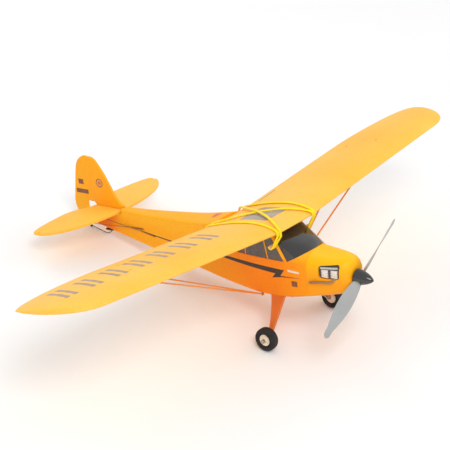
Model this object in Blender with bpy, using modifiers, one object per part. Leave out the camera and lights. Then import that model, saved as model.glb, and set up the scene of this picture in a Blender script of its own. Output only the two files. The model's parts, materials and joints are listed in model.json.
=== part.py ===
"""High-wing foam park flyer, standing on its two wheels and tail skid, nose towards -Y.

Every coordinate below is taken in the airframe's own frame: X to port, Y aft from the nose face,
Z up from the thrust line. One empty, the datum, carries that frame and tilts it to the ground.
"""
import math

import bmesh
import bpy
from mathutils import Matrix, Vector

MM = 0.001

# overall sizes
SPAN = 940 * MM
CHORD = 132 * MM
TAIL_POST_Y = 521 * MM
CABIN_HALF = 36.5 * MM
PROP_RADIUS = 108.7 * MM
WHEEL_RADIUS = 17.9 * MM
WHEEL_HALF_TRACK = 84.7 * MM

# wing
WING_LE_Y = 98.7 * MM
WING_LE_Z = 66.0 * MM
WING_DROP = 9.3 * MM            # trailing edge below leading edge
TIP_RISE = 41.0 * MM            # tip above the centre panel
CENTRE_HALF = CABIN_HALF + 4 * MM
TIP_Y = 0.70 * CHORD            # where the bow of the tip reaches furthest out
SECTION_THICKNESS = 0.11

# fuselage
FOAM = 4.5 * MM                 # wall of the foam mouldings
GAP = 0.4 * MM                  # clearance between neighbouring pieces
COWL_SPLIT_Y = 61.2 * MM
RING_TOP, RING_BOTTOM = 6, 5    # points on each quarter of a body section

# tail
TAIL_PLATE = 5.0 * MM
TAIL_Z = 36.1 * MM
TAIL_HALF_SPAN = 143 * MM
HINGE_HALF_GAP = 1.3 * MM
ELEVATOR_HINGE_Y = TAIL_POST_Y - 6 * MM
RUDDER_HINGE_Y = TAIL_POST_Y + 2.5 * MM
FIN_TOP_Z = 123.4 * MM

# undercarriage
AXLE_Y = 107.5 * MM
AXLE_Z = -88.1 * MM
TYRE_HALF_WIDTH = 7.5 * MM
LEG_THICKNESS = 4.0 * MM
GEAR_WIRE = 1.25 * MM           # radius
SKID_END = Vector((0, TAIL_POST_Y + 20 * MM, -2.6 * MM))
SKID_FOOT = 2.2 * MM            # radius of the bead the tail stands on

# drive
DOWN_THRUST = math.radians(4.5)
GEAR_MODULE = 0.8 * MM
PINION_TEETH, SPUR_TEETH = 10, 26
GEAR_CENTRES = GEAR_MODULE * (PINION_TEETH + SPUR_TEETH) / 2
BLADE_ANGLE = math.radians(-32.5)

# control runs
ROD_RADIUS = 0.6 * MM
HORN_ARM = 11.0 * MM            # elevator horn and both servo arms
RUDDER_ARM = 12.5 * MM
SERVO_Y = 225 * MM

for old in list(bpy.data.objects):
    bpy.data.objects.remove(old, do_unlink=True)
parts = bpy.data.collections.new("foam_aeroplane")
tools = bpy.data.collections.new("cutters")
for group in (parts, tools):
    bpy.context.scene.collection.children.link(group)


# ---- helpers ------------------------------------------------------------------------------

def material(name, colour, roughness, metallic=0.0):
    made = bpy.data.materials.new(name)
    made.use_nodes = True
    shader = made.node_tree.nodes["Principled BSDF"]
    shader.inputs["Base Color"].default_value = (*colour, 1)
    shader.inputs["Roughness"].default_value = roughness
    shader.inputs["Metallic"].default_value = metallic
    return made


def empty(name, location=(0, 0, 0), rotation=(0, 0, 0), parent=None):
    made = bpy.data.objects.new(name, None)
    made.location, made.rotation_euler, made.parent = location, rotation, parent
    parts.objects.link(made)
    return made


def place(name, mesh, paint, parent):
    """Make an object of a mesh: a piece when it has paint, else a wire-drawn tool."""
    made = bpy.data.objects.new(name, mesh)
    made.parent = parent
    (parts if paint else tools).objects.link(made)
    if paint:
        mesh.materials.append(paint)
    else:
        made.hide_render = True
        made.display_type = "WIRE"
    return made


def from_bmesh(name, work, paint, parent):
    bmesh.ops.remove_doubles(work, verts=work.verts, dist=1e-6)
    bmesh.ops.recalc_face_normals(work, faces=work.faces)
    mesh = bpy.data.meshes.new(name)
    work.to_mesh(mesh)
    work.free()
    return place(name, mesh, paint, parent)


def solid_of(carrier):
    """The evaluated shape of a curve or profile as a bmesh; the carrier is removed."""
    bpy.context.view_layer.update()
    shape = bpy.data.meshes.new_from_object(carrier.evaluated_get(bpy.context.evaluated_depsgraph_get()))
    work = bmesh.new()
    work.from_mesh(shape)
    bpy.data.meshes.remove(shape)
    bpy.data.objects.remove(carrier, do_unlink=True)
    return work


def loft(name, rings, paint=None, parent=None):
    """Join rings of equal length into one closed solid with flat end caps."""
    work = bmesh.new()
    rows = [[work.verts.new(point) for point in ring] for ring in rings]
    count = len(rows[0])
    for one, two in zip(rows, rows[1:]):
        for i in range(count):
            j = (i + 1) % count
            work.faces.new((one[i], one[j], two[j], two[i]))
    work.faces.new(rows[0])
    work.faces.new(rows[-1])
    return from_bmesh(name, work, paint, parent or datum)


def prism(name, outline, axis, low, high, paint=None, parent=None):
    """Extrude an outline along an axis; the outline holds the two other coordinates in order."""
    order = {"X": lambda a, b, t: (t, a, b), "Y": lambda a, b, t: (a, t, b),
             "Z": lambda a, b, t: (a, b, t)}[axis]
    return loft(name, [[order(a, b, t) for a, b in outline] for t in (low, high)], paint, parent)


def box(name, low, high, paint=None, parent=None):
    outline = [(low[0], low[1]), (high[0], low[1]), (high[0], high[1]), (low[0], high[1])]
    return prism(name, outline, "Z", low[2], high[2], paint, parent)


def rod(name, start, end, radius, paint=None, parent=None, end_radius=None, segments=16):
    start, end = Vector(start), Vector(end)
    work = bmesh.new()
    turn = (end - start).to_track_quat("Z", "X").to_matrix().to_4x4()
    bmesh.ops.create_cone(work, cap_ends=True, segments=segments, radius1=radius,
                          radius2=radius if end_radius is None else end_radius,
                          depth=(end - start).length,
                          matrix=Matrix.Translation((start + end) / 2) @ turn)
    return from_bmesh(name, work, paint, parent or datum)


def spin(name, profile, centre, axis, paint=None, parent=None, segments=16):
    """Turn a profile of (radius, along) points about an axis line, with a Screw modifier."""
    mesh = bpy.data.meshes.new(name + "_profile")
    count = len(profile)
    closed = profile[0][0] > 0
    edges = [(i, (i + 1) % count) for i in range(count if closed else count - 1)]
    mesh.from_pydata([(r, 0, a) for r, a in profile], edges, [])
    carrier = bpy.data.objects.new(name + "_profile", mesh)
    tools.objects.link(carrier)
    turn = carrier.modifiers.new("turn", "SCREW")
    turn.steps = turn.render_steps = segments
    turn.use_merge_vertices, turn.merge_threshold = True, 1e-5
    solid = solid_of(carrier)
    turned = Vector(axis).to_track_quat("Z", "X").to_matrix().to_4x4()
    solid.transform(Matrix.Translation(Vector(centre)) @ turned)
    return from_bmesh(name, solid, paint, parent or datum)


def wire(name, points, radius, paint=None, parent=None):
    """A round wire along straight runs, from a bevelled curve turned to a mesh."""
    curve = bpy.data.curves.new(name + "_run", "CURVE")
    curve.dimensions = "3D"
    curve.bevel_depth, curve.bevel_resolution, curve.use_fill_caps = radius, 2, True
    run = curve.splines.new("POLY")
    run.points.add(len(points) - 1)
    for slot, point in zip(run.points, points):
        slot.co = (*point, 1)
    carrier = bpy.data.objects.new(name + "_run", curve)
    tools.objects.link(carrier)
    return from_bmesh(name, solid_of(carrier), paint, parent or datum)


def boolean(target, other, operation="DIFFERENCE"):
    step = target.modifiers.new(operation.lower(), "BOOLEAN")
    step.operation, step.object, step.solver = operation, other, "EXACT"
    return target


def cut(target, *others):
    for other in others:
        boolean(target, other)
    return target


def unite(target, *others):
    for other in others:
        boolean(target, other, "UNION")
    return target


def soften(target, width, segments=1):
    step = target.modifiers.new("soften", "BEVEL")
    step.width, step.segments, step.limit_method = width, segments, "ANGLE"
    return target


def origin(target, point):
    """Move a piece's origin to a point without moving the piece."""
    target.data.transform(Matrix.Translation(-Vector(point)))
    target.location = point
    return target


def side_name(side):
    return "left" if side > 0 else "right"


# ---- paints -------------------------------------------------------------------------------

foam_orange = material("orange_foam", (0.85, 0.33, 0.03), 0.6)
foam_yellow = material("yellow_foam", (0.9, 0.55, 0.1), 0.6)
band_yellow = material("yellow_rubber", (0.9, 0.6, 0.02), 0.6)
dark_plastic = material("dark_plastic", (0.04, 0.035, 0.04), 0.2)
smoke_panel = material("smoke_panel", (0.35, 0.3, 0.25), 0.4)
black_rubber = material("black_rubber", (0.02, 0.02, 0.02), 0.8)
white_plastic = material("white_plastic", (0.8, 0.75, 0.7), 0.45)
orange_plastic = material("orange_plastic", (0.6, 0.17, 0.03), 0.45)
grey_plastic = material("grey_plastic", (0.4, 0.4, 0.38), 0.4)
steel = material("steel", (0.5, 0.5, 0.5), 0.3, 1.0)
spar_carbon = material("carbon", (0.03, 0.03, 0.03), 0.5)
wood = material("birch", (0.6, 0.42, 0.25), 0.6)
pack_blue = material("battery_sleeve", (0.05, 0.12, 0.4), 0.4)

# The ground touches the wheels and the bead of the skid: the common tangent sets the attitude.
run = SKID_END.y - AXLE_Y
rise = SKID_END.z - AXLE_Z
PITCH = math.atan2(rise, run) + math.asin((WHEEL_RADIUS - SKID_FOOT) / math.hypot(run, rise))
datum = empty("airframe_datum", rotation=(-PITCH, 0, 0))
thrust_line = empty("thrust_line", rotation=(DOWN_THRUST, 0, 0), parent=datum)


# ---- fuselage -----------------------------------------------------------------------------

def aft(share):
    """A station between the wing's trailing edge and the tail post."""
    start = WING_LE_Y + CHORD
    return start + share * (TAIL_POST_Y - start)


# station, half width over the cabin's, ridge, shoulder, chine, keel (mm), crown power
STATIONS = [
    (-4 * MM, 0.36, 17, 2, -4, -13, 2.2),
    (-2.6 * MM, 0.50, 23.3, 3, -5, -18, 2.2),
    (1 * MM, 0.62, 28.5, 4, -8, -21.5, 2.2),
    (8 * MM, 0.71, 31, 6, -12, -24, 2.2),
    (25 * MM, 0.81, 33.2, 8, -17, -28, 2.2),
    (45 * MM, 0.88, 34.8, 9, -22, -32, 2.2),
    (61 * MM, 0.92, 35.7, 10, -26, -35, 2.2),
    (80 * MM, 0.96, 43.3, 22, -31, -38.5, 2.6),
    (95 * MM, 0.985, 49.2, 36, -34, -41, 3.0),
    (110 * MM, 1.0, 55.2, 48, -36, -42.6, 4.0),
    (122 * MM, 1.0, 61.5, 58, -37, -43.3, 5.0),
    (150 * MM, 0.985, 64, 61, -37.5, -43.6, 6.0),
    (198 * MM, 0.89, 64, 60, -34, -39.8, 6.0),
    (aft(0), 0.79, 61.5, 55, -31, -36.8, 2.0),
    (aft(0.1), 0.70, 57.3, 51, -27.5, -33, 1.7),
    (aft(0.2), 0.61, 53.5, 46.5, -23.5, -29.5, 1.7),
    (aft(0.345), 0.51, 49.7, 43, -19, -24, 1.7),
    (aft(0.55), 0.375, 45, 40, -11.5, -16, 1.7),
    (aft(0.72), 0.275, 42.6, 38.5, -4, -8, 1.7),
    (aft(0.875), 0.19, 41.6, 36.5, 3, -0.8, 1.7),
    (aft(1), 0.125, 41, 35.5, 8, 5, 1.7),
]


def station(y):
    for low, high in zip(STATIONS, STATIONS[1:]):
        if y <= high[0] or high is STATIONS[-1]:
            t = (y - low[0]) / (high[0] - low[0])
            mixed = [a + (b - a) * t for a, b in zip(low, high)]
            return (mixed[1] * CABIN_HALF, *(v * MM for v in mixed[2:6]), mixed[6])
    return None


def half_width(y):
    return station(y)[0]


def keel(y):
    return station(y)[4]


def body_ring(y, inset):
    """One closed section of the fuselage, made smaller all round by the inset."""
    width, ridge, shoulder, chine, bottom, power = station(y)
    width, ridge, bottom = width - inset, ridge - inset, bottom + inset
    half = []
    for i in range(RING_TOP):
        t = math.pi / 2 * (1 - i / RING_TOP)
        half.append((width * math.cos(t) ** (2 / power) if i else 0.0,
                     shoulder + (ridge - shoulder) * math.sin(t) ** (2 / power)))
    for i in range(RING_BOTTOM + 1):
        t = math.pi / 2 * i / RING_BOTTOM
        last = i == RING_BOTTOM
        half.append((0.0 if last else width * math.cos(t) ** (2 / 3),
                     chine + (bottom - chine) * math.sin(t) ** (2 / 3)))
    ring = half + [(-x, z) for x, z in reversed(half[1:-1])]
    return [(x, y, z) for x, z in ring]


def body(name, inset, start, end, paint=None):
    inner = [row[0] for row in STATIONS if start + 0.5 * MM < row[0] < end - 0.5 * MM]
    return loft(name, [body_ring(y, inset) for y in [start, *inner, end]], paint)


def surface_z(x, share):
    """Height of the wing's own leading-to-trailing line at a span station."""
    out = max(0.0, abs(x) - CENTRE_HALF) / (SPAN / 2 - CENTRE_HALF)
    return WING_LE_Z + TIP_RISE * out - WING_DROP * share


def section_height(share, top):
    """Upper or lower face of the wing section above its line, as a part of the local chord."""
    x, m, p = share, 0.04, 0.4
    half = 5 * SECTION_THICKNESS * (0.2969 * math.sqrt(x) - 0.1260 * x - 0.3516 * x ** 2
                                    + 0.2843 * x ** 3 - 0.1036 * x ** 4) + 0.004 * x
    camber = m / p ** 2 * (2 * p * x - x * x) if x < p else (
        m / (1 - p) ** 2 * (1 - 2 * p + 2 * p * x - x * x))
    return camber + half if top else camber - half


def wing_point(x, share, top, lift=0.0):
    """A point on the centre part of the wing, lifted off its face."""
    y = WING_LE_Y + share * CHORD
    z = surface_z(x, share) + section_height(share, top) * CHORD
    return Vector((x, y, z + (lift if top else -lift)))


def wedge(name, shrink):
    """Side view of the windscreen, cut from cowl top to door post and up to the wing."""
    low = Vector((61.0 * MM, 36.0 * MM)) + Vector((0.1, 1.0)) * shrink
    foot = Vector((94.2 * MM, 18.9 * MM)) + Vector((-0.6, 1.1)) * shrink
    head = Vector((115.0 * MM, 60.0 * MM)) + Vector((-1.1, 0)) * shrink
    return prism(name, [low, foot, head, (head.x, 90 * MM), (40 * MM, 90 * MM), (40 * MM, 47 * MM)],
                 "X", -60 * MM, 60 * MM)


def under_wing(name, gap):
    """Everything above the wing's lower face, less a gap: cuts the saddle."""
    shares = [0.02, 0.08, 0.16, 0.3, 0.5, 0.75, 1.0]
    low = [(p.y, p.z) for p in (wing_point(0, s, False, gap) for s in shares)]
    low = [(low[0][0] - 3 * MM, low[0][1]), *low]
    end = aft(0) + 0.6 * MM
    return prism(name, [*low, (end, low[-1][1]), (end, 90 * MM), (low[0][0], 90 * MM)], "X",
                 -70 * MM, 70 * MM)


cavity = body("cavity", FOAM, 2 * MM, aft(0.58))
saddle = under_wing("saddle", GAP)
windscreen_hole = wedge("windscreen_hole", 0.0)
WINDOW_SILL, WINDOW_HEAD = 18.6 * MM, 54 * MM
PEG_RADIUS = 2.5 * MM
PEG_FRONT = Vector((0, 112.5 * MM, 44 * MM))
PEG_REAR = Vector((0, aft(0) + 14 * MM, 38 * MM))
PEG_HALF = CABIN_HALF + 12 * MM

# The thrust line carries the drive; the cowl is bored round it.
nose_hole = rod("nose_hole", (0, -12 * MM, 0), (0, 8 * MM, 0), 8 * MM, parent=thrust_line)
cowl = body("nose_cowl", 0, -4 * MM, COWL_SPLIT_Y, foam_yellow)
cut(cowl, cavity, nose_hole)

ENGINE_FRONT, ENGINE_REAR = 8 * MM, 41.5 * MM


def engine_outline(grow):
    """Slanting side window of the cowl that shows the dummy cylinders."""
    return [(ENGINE_FRONT - grow, 1.0 * MM - grow), (ENGINE_REAR + grow, 1.0 * MM - grow),
            (ENGINE_REAR + grow, 19.5 * MM + grow), (ENGINE_FRONT - grow, 23.5 * MM + grow)]


engine_floor = body("engine_floor", 3.2 * MM, -2 * MM, 56 * MM)
engine_face = body("engine_face", 0.2 * MM, -3 * MM, 57 * MM)
for side in (1, -1):
    name = side_name(side)
    reach = sorted((side * 12 * MM, side * 50 * MM))
    recess = prism(f"engine_recess_{name}", engine_outline(0), "X", *reach)
    cut(cowl, cut(recess, engine_floor))

    block = prism(f"dummy_engine_{name}", engine_outline(-GAP), "X", *reach, dark_plastic)
    trim = body(f"engine_skin_{name}", 1.4 * MM, -2 * MM, 56 * MM)
    backing = body(f"engine_back_{name}", 3.2 * MM - GAP, -3 * MM, 58 * MM)
    boolean(block, trim, "INTERSECT")
    reach_x = half_width(25 * MM) - 1.0 * MM
    for k, y in enumerate((17 * MM, 31 * MM)):
        pot = rod(f"cylinder_{name}_{k}", (side * (reach_x - 3.2 * MM), y, 5.5 * MM),
                  (side * (reach_x - 2.6 * MM), y, 15.5 * MM), 3.6 * MM, segments=12)
        unite(block, boolean(pot, engine_face, "INTERSECT"))
    bends = [Vector((side * (reach_x - 2.5 * MM), 15 * MM, 2.6 * MM)),
             Vector((side * (half_width(20 * MM) + 1.6 * MM), 20 * MM, -3.4 * MM)),
             Vector((side * (half_width(56 * MM) + 2.6 * MM), 56 * MM, -6.8 * MM))]
    unite(block, wire(f"exhaust_{name}", bends, 1.7 * MM))
    cut(block, backing)
    for k, (start, end) in enumerate(zip(bends, bends[1:])):
        more = (end - start).normalized() * 2 * MM
        cut(cowl, rod(f"exhaust_slot_{name}_{k}", start - more, end + more, 2.6 * MM, segments=10))

# Control runs, as straight lines from the servo arms to the horns.
ELEVATOR_HORN = Vector((-14.5 * MM, ELEVATOR_HINGE_Y, TAIL_Z - HORN_ARM))
RUDDER_HORN = Vector((-RUDDER_ARM, RUDDER_HINGE_Y, 8 * MM))
ELEVATOR_CRANK = Vector((-10.85 * MM, SERVO_Y, -13.55 * MM))
RUDDER_CRANK = Vector((-8.17 * MM, SERVO_Y, 25.97 * MM))
ELEVATOR_RUN = (ELEVATOR_HORN - ELEVATOR_CRANK).normalized()
RUDDER_RUN = (RUDDER_HORN - RUDDER_CRANK).normalized()


def back_to(point, direction, y):
    return point + direction * ((y - point.y) / direction.y)


slots = [wire(f"rod_slot_{k}", [back_to(point, run_way, aft(0.1)), back_to(point, run_way, aft(0.98))],
              2.0 * MM) for k, (point, run_way) in
         enumerate(((ELEVATOR_HORN, ELEVATOR_RUN), (RUDDER_HORN, RUDDER_RUN)))]

# Hatch frame: the belly's slope, with the hinge along its port edge.
HATCH_Y = (142 * MM, 214 * MM)
HATCH_HALF = 0.52 * CABIN_HALF
belly_slope = math.atan2(keel(HATCH_Y[1]) - keel(HATCH_Y[0]), HATCH_Y[1] - HATCH_Y[0])
HATCH_MID = Vector((0, sum(HATCH_Y) / 2, (keel(HATCH_Y[0]) + keel(HATCH_Y[1])) / 2))
HATCH_REACH = (HATCH_Y[1] - HATCH_Y[0]) / 2
hatch_frame = empty("hatch_hinge_line", HATCH_MID + Vector((HATCH_HALF + 3.4 * MM, 0, -3.0 * MM)),
                    (belly_slope, 0, 0), datum)
hatch_hole = box("hatch_hole", (-HATCH_HALF, HATCH_Y[0], -60 * MM), (HATCH_HALF, HATCH_Y[1], -28 * MM))
GEAR_Y = 115 * MM
groove = box("gear_groove", (-0.9 * CABIN_HALF, GEAR_Y - 1.8 * MM, -70 * MM),
             (0.9 * CABIN_HALF, GEAR_Y + 1.8 * MM, keel(GEAR_Y) + 3.1 * MM))
TAIL_ROOT_Y = ELEVATOR_HINGE_Y - 58.45 * MM     # front of the seat that the tail stands in
seat = box("tail_seat", (-60 * MM, TAIL_ROOT_Y, TAIL_Z - TAIL_PLATE / 2 - GAP),
           (60 * MM, TAIL_POST_Y + 20 * MM, 90 * MM))
swing = box("elevator_swing", (-60 * MM, ELEVATOR_HINGE_Y, TAIL_Z - TAIL_PLATE - 1.2 * MM),
            (60 * MM, TAIL_POST_Y + 20 * MM, 90 * MM))
peg_holes = [rod(f"peg_hole_{k}", p + Vector((-90 * MM, 0, 0)), p + Vector((90 * MM, 0, 0)),
                 PEG_RADIUS + GAP) for k, p in enumerate((PEG_FRONT, PEG_REAR))]


def window_outline(grow):
    return [(99.8 * MM - grow, WINDOW_SILL - grow), (191 * MM + grow, WINDOW_SILL - grow),
            (196 * MM + grow, WINDOW_HEAD + grow), (118.6 * MM - grow, WINDOW_HEAD + grow)]


window_floor = body("window_floor", 1.9 * MM, 70 * MM, 225 * MM)
pane_back = body("pane_back", 1.5 * MM, 70 * MM, 225 * MM)
pane_front = body("pane_front", 0.1 * MM, 70 * MM, 225 * MM)
for side in (1, -1):
    name = side_name(side)
    shell = body(f"fuselage_{name}", 0, COWL_SPLIT_Y + GAP, TAIL_POST_Y, foam_orange)
    half = box(f"keep_{name}", (-0.2 * MM if side < 0 else -120 * MM, -50 * MM, -120 * MM),
               (0.2 * MM if side > 0 else 120 * MM, TAIL_POST_Y + 60 * MM, 120 * MM))
    reach = sorted((side * 20 * MM, side * 60 * MM))
    recess = prism(f"window_recess_{name}", window_outline(GAP), "X", *reach)
    cut(recess, window_floor)
    cut(shell, cavity, half, windscreen_hole, saddle, recess, hatch_hole, groove, seat, swing, *peg_holes)
    if side < 0:
        cut(shell, *slots)
    pane = prism(f"side_window_{name}", window_outline(0), "X", *reach, dark_plastic)
    boolean(pane, pane_front, "INTERSECT")
    cut(pane, pane_back, peg_holes[0])

windscreen = body("windscreen", 0.05 * MM, 58 * MM, 121 * MM, dark_plastic)
boolean(windscreen, wedge("windscreen_keep", GAP), "INTERSECT")
cut(windscreen, body("windscreen_back", 1.3 * MM, 50 * MM, 130 * MM), saddle)

# ---- inside the fuselage ------------------------------------------------------------------

firewall = body("firewall", FOAM + GAP, 62.5 * MM, 65.5 * MM, wood)
cut(firewall, rod("lead_hole", (0, 50 * MM, -14 * MM), (0, 80 * MM, -14 * MM), 6 * MM))


def shelf(name, start, end, low, high):
    stations_y = [start + (end - start) * t / 3 for t in range(4)]
    edge = [(half_width(y) - FOAM - GAP, y) for y in stations_y]
    return prism(name, edge + [(-x, y) for x, y in reversed(edge)], "Z", low, high, wood)


shelf("equipment_shelf", 90 * MM, 196 * MM, -16.5 * MM, -15 * MM)
shelf("servo_shelf", 204 * MM, 248 * MM, 4.8 * MM, 7.2 * MM)
battery = box("battery_pack", (-16 * MM, 98 * MM, -35.2 * MM), (16 * MM, 182 * MM, -17.4 * MM), pack_blue)
soften(battery, 3 * MM, 2)
receiver = box("receiver_unit", (-14 * MM, 118 * MM, -14.5 * MM), (14 * MM, 164 * MM, -3.5 * MM),
               grey_plastic)
soften(receiver, 1 * MM)


def crank(name, centre, tip, thickness, paint):
    """A flat arm turning about X, with a slot for the bent end of a rod."""
    along = (tip - centre).normalized()
    across = Vector((0, -along.z, along.y))

    def at(a, b):
        point = centre + along * a + across * b
        return point.y, point.z

    arm = (tip - centre).length
    outline = [at(-3.4 * MM, -1.6 * MM), at(-1.6 * MM, -3.4 * MM), at(1.6 * MM, -3.4 * MM),
               at(arm + 4.4 * MM, -2.4 * MM), at(arm + 4.4 * MM, 2.4 * MM), at(1.6 * MM, 3.4 * MM),
               at(-1.6 * MM, 3.4 * MM), at(-3.4 * MM, 1.6 * MM)]
    low, high = centre.x, centre.x + thickness
    made = prism(name, outline, "X", low, high, paint)
    slot = [at(arm - 2.2 * MM, -1.25 * MM), at(arm + 2.8 * MM, -1.25 * MM),
            at(arm + 2.8 * MM, 1.25 * MM), at(arm - 2.2 * MM, 1.25 * MM)]
    return cut(made, prism(name + "_slot", slot, "X", low - 1 * MM, high + 1 * MM))


def servo(kind, tip, up):
    """A servo lying on its side, its arm beside the rod that ends at the tip."""
    centre = tip + Vector((1.2 * MM, 0, -up * HORN_ARM))
    face = centre.x + 2.6 * MM
    case = box(f"{kind}_servo", (face, centre.y - 6 * MM, centre.z - 6 * MM),
               (face + 18.5 * MM, centre.y + 16.5 * MM, centre.z + 6 * MM), dark_plastic)
    lug = box(f"{kind}_servo_lugs", (face + 5 * MM, centre.y - 10 * MM, centre.z - 5.6 * MM),
              (face + 7 * MM, centre.y + 20.5 * MM, centre.z + 5.6 * MM))
    spindle = rod(f"{kind}_servo_spindle", centre + Vector((-0.6 * MM, 0, 0)),
                  (face + 2 * MM, *centre.yz), 1.8 * MM)
    unite(case, lug, spindle)
    arm = crank(f"{kind}_servo_arm", centre, Vector((centre.x, tip.y, tip.z)), 1.3 * MM, white_plastic)
    cut(arm, rod(f"{kind}_arm_bore", centre - Vector((3 * MM, 0, 0)), centre + Vector((5 * MM, 0, 0)),
                 2.2 * MM))
    return origin(arm, centre), centre


elevator_arm, ELEVATOR_SERVO = servo("elevator", ELEVATOR_CRANK, -1)
rudder_arm, RUDDER_SERVO = servo("rudder", RUDDER_CRANK, 1)

BEND = 3.6 * MM
origin(wire("elevator_pushrod", [ELEVATOR_CRANK + Vector((BEND, 0, 0)), ELEVATOR_CRANK, ELEVATOR_HORN,
                                 ELEVATOR_HORN + Vector((BEND, 0, 0))], ROD_RADIUS, steel),
       ELEVATOR_CRANK)
origin(wire("rudder_pushrod", [RUDDER_CRANK + Vector((BEND, 0, 0)), RUDDER_CRANK, RUDDER_HORN,
                               RUDDER_HORN + Vector((0, 0, BEND))], ROD_RADIUS, steel), RUDDER_CRANK)

# ---- battery hatch ------------------------------------------------------------------------

BARREL = 1.7 * MM
plate_low, plate_high = BARREL - 1.0 * MM, BARREL + 0.8 * MM
hatch = box("battery_hatch", (-2 * HATCH_HALF - 5.4 * MM, -HATCH_REACH - 2 * MM, plate_low),
            (-2.4 * MM, HATCH_REACH + 2 * MM, plate_high), foam_orange, hatch_frame)
unite(hatch, box("hatch_root", (-5 * MM, -12 * MM, plate_low), (0, 12 * MM, BARREL - 0.2 * MM),
                 parent=hatch_frame),
      rod("hatch_barrel", (0, -12 * MM, 0), (0, 12 * MM, 0), BARREL, parent=hatch_frame),
      box("hatch_plug", (-2 * HATCH_HALF - 2.0 * MM, -HATCH_REACH + 1.4 * MM, plate_low + 0.2 * MM),
          (-4.8 * MM, HATCH_REACH - 1.4 * MM, plate_high + 1.6 * MM), parent=hatch_frame))
pin_bore = rod("hatch_pin_bore", (0, -40 * MM, 0), (0, 40 * MM, 0), 0.95 * MM, parent=hatch_frame)
cut(hatch, pin_bore)
rod("hatch_pin", (0, -20 * MM, 0), (0, 20 * MM, 0), 0.6 * MM, steel, hatch_frame, segments=12)
bracket = box("hatch_hinge_bracket", (3.4 * MM, -21 * MM, plate_low),
              (7.4 * MM, 21 * MM, BARREL + 0.4 * MM),
              orange_plastic, hatch_frame)
for end in (-1, 1):
    lug_y = sorted((end * 12.6 * MM, end * 19 * MM))
    unite(bracket, box(f"hinge_web_{end}", (0, lug_y[0], plate_low),
                       (5 * MM, lug_y[1], BARREL - 0.2 * MM),
                       parent=hatch_frame),
          rod(f"hinge_lug_{end}", (0, lug_y[0], 0), (0, lug_y[1], 0), BARREL, parent=hatch_frame))
cut(bracket, pin_bore)

# ---- drive --------------------------------------------------------------------------------


def gear(name, teeth, centre, low, high, bore, turn, paint):
    """A spur gear along Y with straight-flanked teeth and plenty of backlash."""
    pitch = GEAR_MODULE * teeth / 2
    root, tip = pitch - 1.2 * GEAR_MODULE, pitch + 0.85 * GEAR_MODULE
    step = math.tau / teeth
    outline = []
    for k in range(teeth):
        for radius, offset in ((root, -0.33), (tip, -0.11), (tip, 0.11), (root, 0.33)):
            a = turn + (k + offset) * step
            outline.append((centre.x + radius * math.sin(a), centre.z + radius * math.cos(a)))
    made = prism(name, outline, "Y", low, high, paint, thrust_line)
    return cut(made, rod(name + "_bore", (centre.x, low - 5 * MM, centre.z),
                         (centre.x, high + 5 * MM, centre.z),
                         bore, parent=thrust_line))


MOTOR_AXIS = Vector((0, 0, GEAR_CENTRES))
gear("spur_gear", SPUR_TEETH, Vector((0, 0, 0)), 7.5 * MM, 12.5 * MM, 1.9 * MM, 0.0, white_plastic)
pinion = gear("pinion", PINION_TEETH, MOTOR_AXIS, 7.3 * MM, 12.7 * MM, 1.3 * MM,
              math.pi + math.pi / PINION_TEETH, steel)
origin(pinion, MOTOR_AXIS + Vector((0, 10 * MM, 0)))
rod("prop_shaft", (0, -24 * MM, 0), (0, 20 * MM, 0), 1.5 * MM, steel, thrust_line)

frame_top = GEAR_CENTRES + 7.4 * MM
frame_low = -GEAR_MODULE * SPUR_TEETH / 2 - 4.2 * MM
gearbox = box("gearbox_frame", (-9 * MM, 4.2 * MM, frame_low), (9 * MM, 17 * MM, frame_top),
              grey_plastic, thrust_line)
unite(gearbox, rod("nose_bearing", (0, -2.5 * MM, 0), (0, 5 * MM, 0), 4.2 * MM, parent=thrust_line))
for end in (-1, 1):
    beam_x = sorted((end * 4 * MM, end * 8 * MM))
    unite(gearbox, box(f"mount_beam_{end}", (beam_x[0], 16 * MM, frame_low),
                       (beam_x[1], 60 * MM, frame_low + 5 * MM), parent=thrust_line))
cut(gearbox, box("gear_pocket", (-30 * MM, 6.4 * MM, frame_low + 2 * MM),
                 (30 * MM, 14 * MM, frame_top - 1.8 * MM),
                 parent=thrust_line),
    rod("shaft_bore", (0, -10 * MM, 0), (0, 30 * MM, 0), 1.9 * MM, parent=thrust_line),
    rod("motor_bore", MOTOR_AXIS + Vector((0, 10 * MM, 0)), MOTOR_AXIS + Vector((0, 30 * MM, 0)),
        3.4 * MM,
        parent=thrust_line))
spin("motor", [(0, 0), (1.0 * MM, 0), (1.0 * MM, 7.6 * MM), (2.9 * MM, 7.6 * MM), (2.9 * MM, 10.4 * MM),
                       (10 * MM, 10.4 * MM), (11 * MM, 11.4 * MM), (11 * MM, 38 * MM),
               (9.6 * MM, 39.4 * MM),
                       (0, 39.4 * MM)], MOTOR_AXIS + Vector((0, 7.2 * MM, 0)), (0, 1, 0), steel,
     thrust_line, 16)

SPINNER_RADIUS, SPINNER_BACK, SPINNER_LENGTH = 12.5 * MM, -5.6 * MM, 28.5 * MM
HUB_Y = -11.5 * MM


def blade_ring(share, side):
    """One section of a propeller blade: chord and twist follow the radius."""
    radius = 5 * MM + share * (PROP_RADIUS - 5 * MM)
    chord = (9 + 13.5 * math.sin(math.pi * min(1, share * 1.12)) ** 0.8) * MM if share < 0.85 else (
        (9 + 13.5 * math.sin(math.pi * 0.952) ** 0.8) * MM * math.sqrt(max(0.06, (1 - share) / 0.15)))
    thick = (3.4 - 2.2 * share) * MM
    twist = math.radians(36 * share - 52)
    ring = []
    for a, b in ((-0.5, 0), (-0.25, 0.42), (0.1, 0.5), (0.5, 0), (0.1, -0.3), (-0.25, -0.25)):
        u, v = a * chord, b * thick
        along = u * math.cos(twist) - v * math.sin(twist)
        across = u * math.sin(twist) + v * math.cos(twist)
        ring.append((side * radius, HUB_Y + across, side * along))
    return ring


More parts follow.
